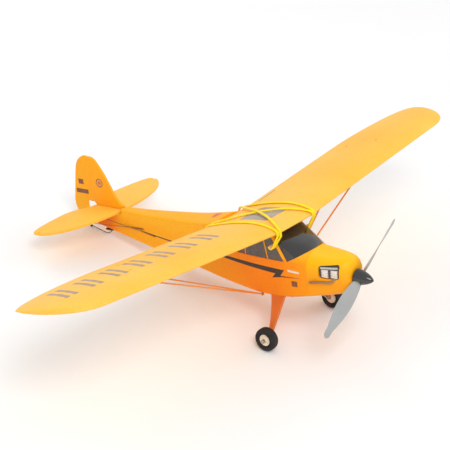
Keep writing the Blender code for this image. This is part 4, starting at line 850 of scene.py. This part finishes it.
posts = {"at": (129.0, 173.0), "lean": (5.5, -1.5), "half": 0.85, "proud": 0.25, "frame": 1.2}


def strip(name, side, points, half, inner, proud):
    # a thin moulded strip that lies on the hull along a line of (station, height) points
    rings = []
    for i, (y, z) in enumerate(points):
        ahead = Vector(points[min(i + 1, len(points) - 1)]) - Vector(points[max(i - 1, 0)])
        across = Vector((-ahead.y, ahead.x)).normalized() * half
        ring = []
        for k, sink in ((-1, inner), (-1, 0.12 - proud), (-0.6, -proud), (0.6, -proud), (1, 0.12 - proud),
                        (1, inner)):
            a, b = y + across.x * k, z + across.y * k
            ring.append((side * (sideAt(a, b) - sink), a, b))
        rings.append(ring)
    return skin(name, rings, sharp=50)


def makePosts():
    sill, head = hull["windowSill"] + 0.2, hull["windowHead"] - 0.2
    for name, side in sides.items():
        pieces = []
        for k, (at, lean) in enumerate(zip(posts["at"], posts["lean"])):
            line = [(at + lean * t, sill + (head - sill) * t) for t in (0, 0.25, 0.5, 0.75, 1)]
            pieces.append(strip(f"post_{k}", side, line, posts["half"], 1.2, posts["proud"]))
        dress(joined(f"window_posts_{name}", *pieces), shadedSideFoam, "airframe")
        foot, top = Vector((94.4, 18.4)), Vector((114.6, 57.0))
        line = [tuple(foot + (top - foot) * (k / 8)) for k in range(9)]
        rail = strip(f"door_post_{name}", side, line, posts["frame"], 1.0, 0.35)
        dress(rail, shadedSideFoam, "airframe")


makeFuselage()
makeCowl()
print("fuselage made")
makeEngines()
makeGlazing()
makePosts()
print("cabin and engine made")

# bands, pegs and struts

band = {
    "lift": 2.1, "crossLift": 4.1, "half": 1.25, "thick": 1.1, "apart": 1.25, "outer": 45.9, "inner": 41.3,
    "round": 16,
}


def outlineOf(points):
    # convex outline of points in a plane, anticlockwise
    points = sorted(points)
    chains = []
    for order in (points, points[::-1]):
        chain = []
        for p in order:
            while len(chain) > 1 and ((chain[-1][0] - chain[-2][0]) * (p[1] - chain[-2][1])
                                      - (chain[-1][1] - chain[-2][1]) * (p[0] - chain[-2][0])) <= 0:
                chain.pop()
            chain.append(p)
        chains.append(chain[:-1])
    return chains[0] + chains[1]


def bandLine(lift):
    # side view of a stretched band: round the front peg, over the wing, round the rear peg
    section = []
    for k in range(33):
        share = (1 - math.cos(math.pi * k / 32)) / 2
        for top in (True, False):
            behind = share * main["chord"]
            y, z = main["wingStart"] + behind, wingHeight(0, behind, top)
            out = -lift if share < 0.05 else lift if share > 0.95 else 0
            section.append((y + out * 0.8, z + (lift if top else -lift)))
    turn = 4 * band["round"]
    loops = []
    for at in (hull["pegFront"], hull["pegRear"]):
        reach = hull["pegRadius"] + 1.0
        loops.append([(at[0] + reach * math.cos(math.tau * k / turn),
                       at[1] + reach * math.sin(math.tau * k / turn)) for k in range(turn)])
    outline = outlineOf(section + loops[0] + loops[1])
    lowFront = min((p for p in outline if p in loops[0]), key=lambda p: p[1])
    lowRear = min((p for p in outline if p in loops[1]), key=lambda p: p[1])
    i = outline.index(lowFront)
    ordered = outline[i::-1] + outline[:i:-1]
    line = ordered[:ordered.index(lowRear) + 1]
    first, last = loops[0].index(lowFront), loops[1].index(lowRear)
    under = band["round"]
    hookFront = [loops[0][(first + k) % turn] for k in range(under, 0, -1)]
    hookRear = [loops[1][(last - k) % turn] for k in range(1, under + 1)]
    return hookFront + line + hookRear


def makeBand(name, startX, endX, lift):
    line = bandLine(lift)
    begin, end = main["wingStart"], hull["pegRear"][0]
    foremost = min(range(len(line)), key=lambda k: line[k][0])
    strands = []
    for strand in (-1, 1):
        path = []
        for i, (y, z) in enumerate(line):
            share = 0.0 if i < foremost else min(1.0, max(0.0, (y - begin) / (end - begin)))
            path.append((startX + (endX - startX) * share + strand * band["apart"], y, z))
        strands.append(tube(f"strand_{strand}", path, band["half"], sides=12,
                            squash=band["thick"] / band["half"], flatWay=(1, 0, 0)))
    dress(joined(f"{name}_strands", *strands), rubber["band"], "airframe", (name,))


def makeBands():
    outer, inner = band["outer"], band["inner"]
    makeBand("rubber_band_left", outer, outer, band["lift"])
    makeBand("rubber_band_right", -outer, -outer, band["lift"])
    makeBand("rubber_band_cross_low", inner, -inner, band["lift"])
    makeBand("rubber_band_cross_high", -inner, inner, band["crossLift"])
    for end in ("front", "rear"):
        at = hull["pegFront" if end == "front" else "pegRear"]
        half, r = hull["pegHalf"], hull["pegRadius"]
        profile = [(0, -half), (r - 0.5, -half), (r, -half + 0.5), (r, half - 0.5), (r - 0.5, half), (0, half)]
        peg = turned(f"dowel_{end}", profile, (0, *at), (1, 0, 0), steps=32)
        dress(peg, birch, "airframe", (f"band_peg_{end}",))


strut = {
    "footShare": 0.83, "footAt": 152.0, "footDrop": 1.9, "clear": 6.2, "half": 1.5, "flat": 0.75, "eye": 2.6,
    "steps": 24,
}


def makeStruts():
    foot = Vector((strut["footShare"] * main["cabinHalf"], strut["footAt"],
                   hullAt(strut["footAt"])[4] - strut["footDrop"]))
    for name, side in sides.items():
        legs = []
        base = Vector((side * foot.x, foot.y, foot.z))
        for (at, share), shift in ((wing["frontStud"], -1.5), (wing["rearStud"], 1.5)):
            stud = underPoint(side * at * main["halfSpan"], share)
            head = stud + (base - stud).normalized() * strut["clear"]
            start = base + Vector((0, shift, 0))
            reach = (head - start).length
            path, sizes = [], []
            for k in range(strut["steps"] + 1):
                t = k / strut["steps"]
                path.append(start + (head - start) * t)
                near = min(t, 1 - t) * reach
                sizes.append(strut["half"] * (0.86 + 0.14 * min(1.0, near / 12)))
            legs.append(tube("leg", path, sizes, sides=20, squash=strut["flat"], flatWay=(0, 1, 0)))
        for leg in legs:
            roundEdges(leg, 0.35, 2, 60)
        r = strut["eye"]
        profile = [(0, -1.3), (r - 0.5, -1.3), (r, -0.8), (r, 0.8), (r - 0.5, 1.3), (0, 1.3)]
        eye = turned("eye", profile, base + Vector((side * 0.4, 0, 0.1)), (1, 0, 0.15), steps=36)
        dress(joined(f"strut_pair_{name}", *legs, eye), paint["strut"], "airframe",
              (f"wing_strut_{name}",))


makeBands()
makeStruts()
print("bands and struts made")

# wheels and undercarriage

wheel = {
    "radius": 17.9, "drawn": 19.3, "track": 84.7, "half": 7.5,
    "tyre": [(8.8, -4.2), (9.8, -4.5), (11.1, -4.7), (12.1, -5.6), (12.9, -6.6), (14.0, -7.25), (15.4, -7.5),
             (16.8, -7.1), (18.0, -6.2), (18.75, -5.0), (19.1, -3.9), (19.3, -2.2)],
    "hub": [(1.6, -6.4), (3.2, -6.4), (3.6, -6.0), (3.7, -5.0), (5.0, -4.6), (7.2, -4.6), (8.3, -5.0),
            (8.8, -5.6), (9.4, -5.7), (9.7, -5.3), (9.7, -4.75), (8.5, -4.6), (8.5, 0)],
    "pockets": 5, "pocketAt": 6.2, "pocketDeep": 4.6,
}


def mirrored(profile):
    sized = [(r * (wheel["radius"] / wheel["drawn"] if r > 4 else 1), a) for r, a in profile]
    return sized + [(r, -a) for r, a in reversed(sized) if abs(a) > 1e-6]


def makeWheels():
    for name, side in sides.items():
        centre = (side * wheel["track"], wheelAt.y, wheelAt.z)
        profile = mirrored([*wheel["tyre"], (wheel["drawn"], 0.0)])
        tyre = turned(f"foam_tyre_{name}", profile, centre, (1, 0, 0), steps=96, sharp=60)
        dress(tyre, rubber["tyre"], f"wheel_{name}", (f"tyre_{name}",))
        hub = turned(f"hub_disc_{name}", mirrored(wheel["hub"]), centre, (1, 0, 0), steps=72, sharp=40)
        holes = []
        for k in range(wheel["pockets"]):
            a = math.tau * (k + 0.25) / wheel["pockets"]
            y, z = wheelAt.y + wheel["pocketAt"] * math.cos(a), wheelAt.z + wheel["pocketAt"] * math.sin(a)
            for face in (-1, 1):
                holes.append(turned(f"pocket_{k}", [(0, -0.6), (1.15, -0.6), (1.3, 2), (0, 2)],
                                    (centre[0] + face * wheel["pocketDeep"], y, z), (face, 0, 0), steps=24))
        carve(hub, *holes, sharp=40)
        dress(hub, paint["hub"], f"wheel_{name}", (f"wheel_hub_{name}",))


leg = {
    "topShare": 0.84, "topSunk": 4.0, "wire": 1.25, "thick": 4.0, "topEdges": (104.5, 133.5), "footHalf": 3.6,
    "collar": 3.0, "steps": 14, "round": 10,
}


def makeUndercarriage():
    keel = hullAt(hull["wireAt"])[4]
    wireZ = keel + leg["wire"] + 0.3
    top = Vector((leg["topShare"] * main["cabinHalf"], 0, wireZ))
    foot = Vector((wheel["track"] - wheel["half"] - 3.6, 0, wheelAt.z))
    down = (foot - top).normalized()
    outward = Vector((-down.z, 0, down.x))
    shift = outward * (leg["thick"] / 2 + leg["wire"] + 0.4)
    axleEnd = wheel["track"] + wheel["half"] + 5.5
    for name, side in sides.items():
        rings = []
        start, end = top - down * leg["topSunk"] + shift, foot - down * 2 + shift
        for k in range(leg["steps"] + 1):
            t = k / leg["steps"]
            ease = t + 0.10 * math.sin(math.pi * t)
            middle = start + (end - start) * t
            front = leg["topEdges"][0] + (wheelAt.y - leg["footHalf"] - leg["topEdges"][0]) * t
            rear = leg["topEdges"][1] + (wheelAt.y + leg["footHalf"] - leg["topEdges"][1]) * ease
            ring = []
            for a in range(2 * leg["round"]):
                turn = math.pi * a / leg["round"]
                across = abs(math.cos(turn)) ** 0.55 * math.copysign(1, math.cos(turn))
                up = abs(math.sin(turn)) ** 0.55 * math.copysign(1, math.sin(turn))
                p = middle + outward * (leg["thick"] / 2) * up
                ring.append((side * p.x, (front + rear) / 2 + (rear - front) / 2 * across, p.z))
            rings.append(ring)
        fairing = skin(f"leg_fairing_{name}", rings, sharp=50)
        roundEdges(fairing, 0.6, 3, 60)
        dress(fairing, paint["leg"], "airframe", (f"gear_leg_{name}",))
    half = [Vector((axleEnd, wheelAt.y, wheelAt.z)), Vector((foot.x, wheelAt.y, wheelAt.z)),
            Vector((top.x, hull["wireAt"], wireZ))]
    path = half + [Vector((-p.x, p.y, p.z)) for p in reversed(half)]
    parts = [tube("bent_axle_wire", rounded(path, 2.4), leg["wire"], sides=20)]
    for side in (1, -1):
        start = side * (wheel["track"] + wheel["half"] + 0.5)
        r = leg["collar"]
        profile = [(1.2, 0), (r - 0.4, 0), (r, 0.4), (r, 3.4), (r - 0.4, 3.9), (1.2, 3.9)]
        parts.append(turned("collar", profile, (start, wheelAt.y, wheelAt.z), (side, 0, 0), steps=32))
    dress(joined("bent_axle_wire", *parts), springSteel, "airframe", ("landing_gear_wire",))


def rounded(path, radius, steps=6):
    # corners of a bent wire turned into short curves
    made = [path[0]]
    for before, here, after in zip(path, path[1:], path[2:]):
        inWay, outWay = (before - here).normalized(), (after - here).normalized()
        start, end = here + inWay * radius, here + outWay * radius
        for k in range(steps + 1):
            t = k / steps
            made.append(start * (1 - t) ** 2 + here * 2 * t * (1 - t) + end * t ** 2)
    return made + [path[-1]]


skid = {"bead": 2.2, "wire": 0.8, "end": (0, 541.0, -2.6), "start": 494.86}


def makeSkid():
    keel = hullAt(skid["start"] - 7)[4] - 0.4
    pad = block("skid_pad", (-3.5, skid["start"] - 7, keel - 3.2), (3.5, skid["start"] + 9, keel - 0.4))
    roundEdges(pad, 0.8, 3)
    x, y, z = skid["end"]
    dip = z - 7.8
    route = [(0, skid["start"] - 3, keel - 2), (0, skid["start"] + 1, dip + 2.6), (0, skid["start"] + 8, dip),
             (0, skid["start"] + 18, dip + 1.0), (0, y - 10, z - 2.2), (x, y, z)]
    wire = tube("skid_loop", smoothPath(route, 8), skid["wire"], sides=14)
    ball = []
    for k in range(13):
        a = math.pi * (k / 12 - 0.5)
        ball.append((skid["bead"] * math.cos(a) if 0 < k < 12 else 0.0, skid["bead"] * math.sin(a)))
    bead = turned("bead", ball, skid["end"], (1, 0, 0), steps=32, sharp=60)
    dress(joined("skid_block", pad, bead), rubber["skid"], "airframe", ("tail_skid",))
    dress(wire, rodSteel, "airframe")


makeWheels()
makeUndercarriage()
makeSkid()
print("undercarriage made")

# propeller and spinner

prop = {
    "radius": 108.7, "hubY": -11.5, "root": 5.0, "tipStart": 0.93, "angle": -32.5, "steps": 40, "around": 28,
    "bossHalf": 3.5, "boss": 6.5, "bore": 1.9, "rootTwist": -52, "washout": 36,
}
spinner = {"radius": 12.5, "back": -5.6, "length": 28.5, "steps": 26}


def bladeRing(share, side):
    radius = prop["root"] + share * (prop["radius"] - prop["root"])
    swell = math.sin(math.pi * min(0.952, share * 1.12)) ** 0.8 if share > 0 else 0.0
    chord = 9 + 13.5 * swell
    if share > prop["tipStart"]:
        chord *= math.sqrt(max(0.04, 1 - ((share - prop["tipStart"]) / (1 - prop["tipStart"])) ** 2))
    thick = 3.4 - 2.2 * share
    twist = math.radians(prop["washout"] * share + prop["rootTwist"])
    ring = []
    for k in range(prop["around"]):
        a = math.tau * k / prop["around"]
        u = -0.5 * math.cos(a) * chord
        v = (0.5 if math.sin(a) > 0 else 0.28) * math.sin(a) * thick * (1 - 0.25 * (0.5 - 0.5 * math.cos(a)))
        along, across = u * math.cos(twist) - v * math.sin(twist), u * math.sin(twist) + v * math.cos(twist)
        ring.append((side * radius, prop["hubY"] + across, side * along))
    return ring


turnedBy = thrust @ Matrix.Rotation(math.radians(prop["angle"]), 4, "Y")


def makePropeller():
    y, half, r = prop["hubY"], prop["bossHalf"], prop["boss"]
    profile = [(prop["bore"], -half), (r - 0.8, -half), (r, -half + 0.8), (r, half - 0.8), (r - 0.8, half),
               (prop["bore"], half)]
    boss = turned("prop_boss", profile, (0, y, 0), (0, 1, 0), turnedBy, 48)
    bore = turned("prop_bore", [(0, -20), (prop["bore"], -20), (prop["bore"], 20), (0, 20)], (0, y, 0),
                  (0, 1, 0), turnedBy, 32)
    for name, side in sides.items():
        shares = [k / prop["steps"] for k in range(prop["steps"] - 4)]
        last = shares[-1]
        shares += [last + (1 - last) * math.sin(math.pi / 2 * k / 8) for k in range(1, 9)]
        blade = skin(f"blade_{name}", [bladeRing(s, side) for s in shares], turnedBy, sharp=50)
        carve(boss, blade, way="UNION", sharp=45)
    carve(boss, bore, sharp=45)
    dress(boss, paint["blade"], "propeller_set", ("propeller",))


def makeSpinner():
    s = spinner
    outer = []
    for k in range(s["steps"] + 1):
        t = k / s["steps"]
        outer.append((s["radius"] * (1 - t ** 1.5) ** 0.65, s["back"] - s["length"] * t))
    inner = [(0, s["back"] - 10.5), (s["radius"] - 3.4, s["back"] - 10.5), (s["radius"] - 2.2, s["back"] - 1.6),
             (0, s["back"] - 1.6)]
    profile = [(0, s["back"]), (s["radius"] - 0.5, s["back"]), *outer[:-1], (0, outer[-1][1])]
    cone = turned("spinner_cone", profile, (0, 0, 0), (0, 1, 0), turnedBy, 72, 40)
    hollow = turned("spinner_hollow", inner, (0, 0, 0), (0, 1, 0), turnedBy, 36)
    window = block("spinner_window", (-20, prop["hubY"] - 5.6, -6.0), (20, prop["hubY"] + 5.6, 6.0), turnedBy)
    roundEdges(window, 1.8, 3)
    shaft = turned("shaft_hole", [(0, 0), (1.9, 0), (1.9, -26), (0, -26)], (0, 0, 0), (0, 1, 0), turnedBy, 32)
    carve(cone, hollow, window, shaft, sharp=40)
    dress(cone, paint["spinner"], "propeller_set", ("spinner",))


makePropeller()
makeSpinner()
print("propeller made")

# tail surfaces

tail = {
    "halfSpan": 143.0, "plate": 5.0, "hinge": 1.3, "edge": 1.9, "finTop": 123.4, "finStart": 456.06,
    "frontReach": 56, "frontDeep": 64, "finDrawn": 84.4,
}


def tailFront(x):
    u = min(1.0, abs(x) / tail["halfSpan"])
    return elevatorLine.y - tail["frontReach"] + tail["frontDeep"] * (1 - math.sqrt(1 - u * u))


def tailRear(x):
    u = min(1.0, abs(x) / tail["halfSpan"])
    return elevatorLine.y + 8 + 18 * math.sqrt(max(0.0, 1 - u ** 2.5))


def cornered(points, radius, steps=5):
    # an outline with its corners rounded, never by more than its sides allow
    made = []
    count = len(points)
    for i in range(count):
        before, here, after = (Vector(points[(i + k) % count]) for k in (-1, 0, 1))
        inWay, outWay = before - here, after - here
        turn = math.pi - inWay.angle(outWay) if inWay.length and outWay.length else 0
        if turn < math.radians(9):
            made.append(tuple(here))
            continue
        reach = min(radius, 0.45 * inWay.length, 0.45 * outWay.length)
        start, end = here + inWay.normalized() * reach, here + outWay.normalized() * reach
        for k in range(steps + 1):
            t = k / steps
            made.append(tuple(start * (1 - t) ** 2 + here * 2 * t * (1 - t) + end * t ** 2))
    return made


def foamPlate(name, outline, axis, middle):
    # a foam plate with fully rounded edges, a little thinner towards its rim
    half = tail["plate"] / 2
    plate = slab(name, outline, axis, middle - half, middle + half)
    return roundEdges(plate, tail["edge"], 4, 50)


def makeStabilizer():
    rear = elevatorLine.y - tail["hinge"]
    reach = tail["halfSpan"] * math.sqrt(1 - (1 - (rear - tailFront(0)) / tail["frontDeep"]) ** 2)
    across = [reach * math.sin(math.pi / 2 * k / 20) for k in range(20)]
    edge = [(x, tailFront(x)) for x in across] + [(reach, rear)]
    outline = edge + [(-x, y) for x, y in reversed(edge[1:])]
    plate = foamPlate("stabilizer_plate", outline, "Z", elevatorLine.z)
    dress(plate, litTopFoam, "airframe", ("stabilizer",))

    front = elevatorLine.y + tail["hinge"]
    outer = tail["halfSpan"] * 0.992
    spreadX = [tail["halfSpan"] * (0.40 + 0.58 * k / 16) for k in range(17)]
    edge = [(0.0, front + 5.2), (11, front + 5.2), (28, tailRear(0) - 8.5), (46, tailRear(0) - 2.8),
            *((x, tailRear(x)) for x in spreadX), (outer, elevatorLine.y + 8), (outer - 0.8, front)]
    outline = cornered(edge + [(-x, y) for x, y in reversed(edge[1:])], 6)
    plate = foamPlate("elevator_plate", outline, "Z", elevatorLine.z)
    dress(plate, litTopFoam, "elevator", ("elevator",))


finBase = elevatorLine.z + plateHalf + 0.4
finCurve = [(70, 4.6), (61, 8.2), (52, 18.2), (45.5, 29), (39, 41.2), (27.5, 60.5), (15, 77), (7, 82.2)]
rudderCurve = [(-10.5, 84.4), (-20.5, 80), (-28, 72.5), (-33.5, 59.3), (-40.5, 28), (-46, 1)]
rudderLow = [(44.5, 29), (40.5, 21), (32, 12), (21, 7.4)]


def finPoint(back, up):
    # a point ahead of the rudder's hinge line and above the fin's foot
    return rudderLine.y - back, finBase + up * ((tail["finTop"] - finBase) / tail["finDrawn"])


def curveOf(points):
    return [(p.x, p.y) for p in smoothPath([(y, z, 0) for y, z in points], 4)]


def makeFin():
    notch = elevatorLine.y
    line = rudderLine.y - tail["hinge"]
    curve = curveOf([*(finPoint(*p) for p in finCurve), (line, finPoint(0, 83.4)[1])])
    outline = [(tail["finStart"], finBase), (tail["finStart"], 43.6), *curve, (line, finBase + 4.6),
               (notch + 4, finBase + 1.6), (notch - 3, finBase)]
    plate = foamPlate("fin_plate", outline, "X", 0)
    dress(plate, shadedUprightTailFoam, "airframe", ("fin",))

    line = rudderLine.y + tail["hinge"]
    outline = curveOf([(line, finPoint(0, 83.7)[1]), *(finPoint(*p) for p in rudderCurve),
                       *((rudderLine.y + back, z) for back, z in rudderLow), (line, 6)])
    outline += [(line, 30.8), (notch + 24, 30.6), (notch + 24, finBase + 5.2), (line, finBase + 4.0)]
    plate = foamPlate("rudder_plate", outline, "X", 0)
    dress(plate, shadedUprightTailFoam, "rudder", ("rudder",))


hinges = {"thick": 4.6, "overlap": 2.0, "steps": 12, "elevatorReach": (14, 136)}


def hingeWeb(name, line, corners, finish):
    # foam skin over a hinge line, a straight block across it from the airframe to the surface behind it
    over = tail["hinge"] + hinges["overlap"]
    steps = hinges["steps"]
    rings = []
    for k in range(steps + 1):
        y = line.y - over + 2 * over * k / steps
        rings.append([(x, y, z) for x, z in corners])
    web = skin(name, rings)
    web.data.materials.append(finish)
    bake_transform(web)


def makeHinges():
    half = hinges["thick"] / 2
    near, far = hinges["elevatorReach"]
    low, high = elevatorLine.z - half, elevatorLine.z + half
    for name, side in sides.items():
        corners = [(side * near, low), (side * far, low), (side * far, high), (side * near, high)]
        hingeWeb(f"elevator_hinge_web_{name}", elevatorLine, corners, litTopFoam)
    low, high = elevatorLine.z + plateHalf + 6.4, tail["finTop"] - 1.2
    corners = [(-half, low), (half, low), (half, high), (-half, high)]
    hingeWeb("rudder_hinge_web", rudderLine, corners, shadedUprightTailFoam)


makeStabilizer()
makeFin()
makeHinges()
print("tail made")

# markings, as thin printed films on the skin

filmLift = 0.14


def cutBands(outline, step):
    # the outline cut into upright strips, each with its lower and upper edge
    low, high = min(p[0] for p in outline), max(p[0] for p in outline)
    stations = sorted({low, high, *(p[0] for p in outline),
                       *(low + step * k for k in range(int((high - low) / step) + 1))})
    bands = []
    for a, b in zip(stations, stations[1:]):
        if b - a < 1e-4:
            continue
        rows = []
        for y in (a + 1e-4, b - 1e-4):
            hits = []
            for p, q in zip(outline, outline[1:] + outline[:1]):
                if (p[0] > y) != (q[0] > y):
                    hits.append(p[1] + (y - p[0]) / (q[0] - p[0]) * (q[1] - p[1]))
            hits.sort()
            rows.append(hits)
        for k in range(0, min(len(rows[0]), len(rows[1])) - 1, 2):
            bands.append((a, b, rows[0][k:k + 2], rows[1][k:k + 2]))
    return bands


def sideFilm(name, side, outline, finish, body="airframe", flat=None, step=4.0, rows=3):
    # a film on the hull's side, or on a plate whose half thickness is flat
    points, faces = [], []
    for a, b, (lowA, highA), (lowB, highB) in cutBands(outline, step):
        start = len(points)
        for y, low, high in ((a, lowA, highA), (b, lowB, highB)):
            for k in range(rows + 1):
                z = low + (high - low) * k / rows
                x = flat if flat is not None else sideAt(y, z)
                points.append((side * (x + filmLift), y, z))
        for k in range(rows):
            face = (start + k, start + rows + 1 + k, start + rows + 2 + k, start + k + 1)
            faces.append(face if side > 0 else face[::-1])
    made = newPiece(name, points, faces)
    return dress(made, finish, body)


def ovalOf(y, z, half, tall, steps=36):
    return [(y + half * math.cos(math.tau * k / steps), z + tall * math.sin(math.tau * k / steps))
            for k in range(steps)]


stripeLine = [(440, 13.2), (398, 10.6), (342.6, 7.2), (210.6, 7.4), (100.4, 4.9), (108.3, -5.3), (69, -4.4),
              (104.7, -6.8), (124, -10.6), (117.4, -2.9), (222, 3.0), (342.6, 5.2), (398, 9.2)]
sideBar = [(74, 2.5), (94, 3.6), (94, 7.0), (74, 5.6)]
sideSquare = [(79, -19.2), (89, -19.2), (89, -10.4), (79, -10.4)]
rudderBars = {
    "short": [(541.5, 72.3), (552.8, 72.3), (552.8, 81.0), (541.5, 81.0)],
    "long": [(532.7, 55.9), (560.6, 55.9), (560.6, 63.5), (532.7, 63.5)],
}
finMark = {"at": (503.5, 79.0), "outer": (7.6, 0.0, "brown"), "ring": (6.2, 0.06, "tan"),
           "inner": (3.2, 0.12, "red")}
deckOval = {"at": 252.0, "half": (11.0, 5.2), "steps": 40, "rings": 4}


def topFilm(name, outline, finish):
    # a film on the wing's upper skin; the outline holds (x, behind) points
    points, faces = [], []
    rows = 6
    for a, b, (lowA, highA), (lowB, highB) in cutBands(outline, 4.0):
        start = len(points)
        for x, low, high in ((a, lowA, highA), (b, lowB, highB)):
            for k in range(rows + 1):
                behind = low + (high - low) * k / rows
                points.append((x, main["wingStart"] + behind, wingHeight(x, behind) + filmLift))
        for k in range(rows):
            faces.append((start + k, start + rows + 1 + k, start + rows + 2 + k, start + k + 1))
    made = newPiece(name, points, faces)
    return dress(made, finish, "airframe")


wingMarks = {"from": -118.0, "pitch": -47.0, "count": 7, "wide": 8.0, "gap": 15.0, "lead": 46.0, "trail": 96.0,
             "slant": 9.0}


def makeMarkings():
    for name, side in sides.items():
        sideFilm(f"side_stripe_{name}", side, stripeLine, film["stripe"])
        sideFilm(f"side_bar_{name}", side, sideBar, film["white"])
        sideFilm(f"side_square_{name}", side, sideSquare, film["brown"])
        half = tail["plate"] / 2
        for key, outline in rudderBars.items():
            sideFilm(f"rudder_bar_{key}_{name}", side, outline, film["brown"], "rudder", half)
        for key in ("outer", "ring", "inner"):
            r, lift, colour = finMark[key]
            mark = sideFilm(f"fin_roundel_{key}_{name}", side, ovalOf(*finMark["at"], r, r), film[colour],
                            flat=half, step=1.2)
            for v in mark.data.vertices:
                v.co.x += side * lift * mm
    m = wingMarks
    for k in range(m["count"]):
        x = m["from"] + m["pitch"] * k
        for n, shift in enumerate((0.0, -m["gap"])):
            a = x + shift
            outline = [(a, m["lead"]), (a - m["wide"], m["lead"]), (a - m["wide"] + m["slant"], m["trail"]),
                       (a + m["slant"], m["trail"])]
            topFilm(f"wing_bar_{k}_{n}", outline, film["wingMark"])
    topFilm("wing_bar_left", [(64, 118.5), (106, 118.5), (106, 121.5), (64, 121.5)], film["wingMark"])


def deckAt(x, y):
    # height of the upper hull at a distance from the middle
    width, ridge, shoulder, chine, bottom, power = hullAt(y)
    return shoulder + (ridge - shoulder) * (1 - (abs(x) / width) ** power) ** (1 / power)


def makeDeckOval():
    points, faces = [], []
    steps, rings = deckOval["steps"], deckOval["rings"]
    wide, long = deckOval["half"]
    for k in range(rings + 1):
        for n in range(steps):
            a = math.tau * n / steps
            x, y = wide * k / rings * math.cos(a), deckOval["at"] + long * k / rings * math.sin(a)
            points.append((x, y, deckAt(x, y) + filmLift))
    for k in range(rings):
        for n in range(steps):
            after = (n + 1) % steps
            faces.append((k * steps + n, (k + 1) * steps + n, (k + 1) * steps + after, k * steps + after))
    dress(newPiece("deck_oval", points, faces), film["red"], "airframe")


makeMarkings()
makeDeckOval()
print("markings made")

# finishes for the pieces that keep their CAD shape

keptFinish = {
    "battery_pack": paint["sleeve"], "receiver_unit": paint["dark"], "elevator_servo": paint["dark"],
    "rudder_servo": paint["dark"], "elevator_servo_arm": paint["nylon"], "rudder_servo_arm": paint["nylon"],
    "elevator_horn": paint["nylon"], "rudder_horn": paint["nylon"], "spur_gear": paint["nylon"],
    "equipment_shelf": birch, "servo_shelf": birch, "firewall": birch, "motor": springSteel,
    "pinion": springSteel, "prop_shaft": springSteel, "elevator_hinge_pin": springSteel,
    "rudder_hinge_pin": springSteel,
    "hatch_pin": springSteel, "gearbox_frame": paint["grey"], "wing_spar": paint["carbon"],
    "battery_hatch": shadedSideFoam, "hatch_hinge_bracket": paint["strut"], "strut_mount_left": paint["strut"],
    "strut_mount_right": paint["strut"], "landing_gear_plate": paint["leg"], "elevator_pushrod": rodSteel,
    "rudder_pushrod": rodSteel,
}
for node, finish in keptFinish.items():
    for place in frame["nodes"][node].material_slots:
        place.material = finish
print("kept pieces finished")

# floor, light and camera

floorLook = bpy.data.materials.new("paleFloor")
floorLook.use_nodes = True
floorShader = floorLook.node_tree.nodes["Principled BSDF"]
floorShader.inputs["Base Color"].default_value = (0.92, 0.92, 0.92, 1)
floorShader.inputs["Roughness"].default_value = 0.85
floorMesh = bpy.data.meshes.new("floor")
reach = 14.0
floorMesh.from_pydata([(-reach, -reach, 0), (reach, -reach, 0), (reach, reach, 0), (-reach, reach, 0)], [],
                      [(0, 1, 2, 3)])
floorMesh.materials.append(floorLook)
floor = bpy.data.objects.new("floor", floorMesh)
bpy.context.scene.collection.objects.link(floor)

world = bpy.data.worlds.new("paleRoom")
world.use_nodes = True
world.node_tree.nodes["Background"].inputs["Color"].default_value = (1, 1, 1, 1)
world.node_tree.nodes["Background"].inputs["Strength"].default_value = 0.75
bpy.context.scene.world = world


def addLamp(name, at, size, power):
    lamp = bpy.data.lights.new(name, "AREA")
    lamp.shape, lamp.size, lamp.energy = "DISK", size, power
    obj = bpy.data.objects.new(name, lamp)
    obj.location = at
    obj.rotation_euler = (Vector((0, 0, 0.08)) - Vector(at)).to_track_quat("-Z", "Y").to_euler()
    bpy.context.scene.collection.objects.link(obj)


addLamp("mainLight", (-1.3, -1.6, 2.4), 1.4, 34)
addLamp("fillLight", (2.4, -1.2, 1.5), 2.0, 12)
addLamp("backLight", (0.6, 2.2, 1.9), 1.6, 14)

view = {
    "at": (-1.49977598, -1.10642722, 0.78854815), "azimuth": -48.092, "elevation": 20.3686, "roll": -6.9554,
    "lens": 110.72, "shiftX": 0.00078, "shiftY": 0.00343,
}
azimuth, elevation, roll = (math.radians(view[key]) for key in ("azimuth", "elevation", "roll"))
back = Vector((math.sin(azimuth) * math.cos(elevation), -math.cos(azimuth) * math.cos(elevation),
               math.sin(elevation)))
right = (-back).cross(Vector((0, 0, 1))).normalized()
up = right.cross(-back)
turnedRight = right * math.cos(roll) + up * math.sin(roll)
turnedUp = up * math.cos(roll) - right * math.sin(roll)
camera = bpy.data.objects.new("camera", bpy.data.cameras.new("camera"))
camera.data.lens, camera.data.sensor_width = view["lens"], 36.0
camera.data.shift_x, camera.data.shift_y = view["shiftX"], view["shiftY"]
camera.data.clip_start = 0.01
bpy.context.scene.collection.objects.link(camera)
facing = Matrix((turnedRight, turnedUp, back)).transposed().to_4x4()
camera.matrix_world = airplane @ (Matrix.Translation(Vector(view["at"])) @ facing)
bpy.context.scene.camera = camera
bpy.context.scene.view_settings.view_transform = "Standard"

print("scene finished")
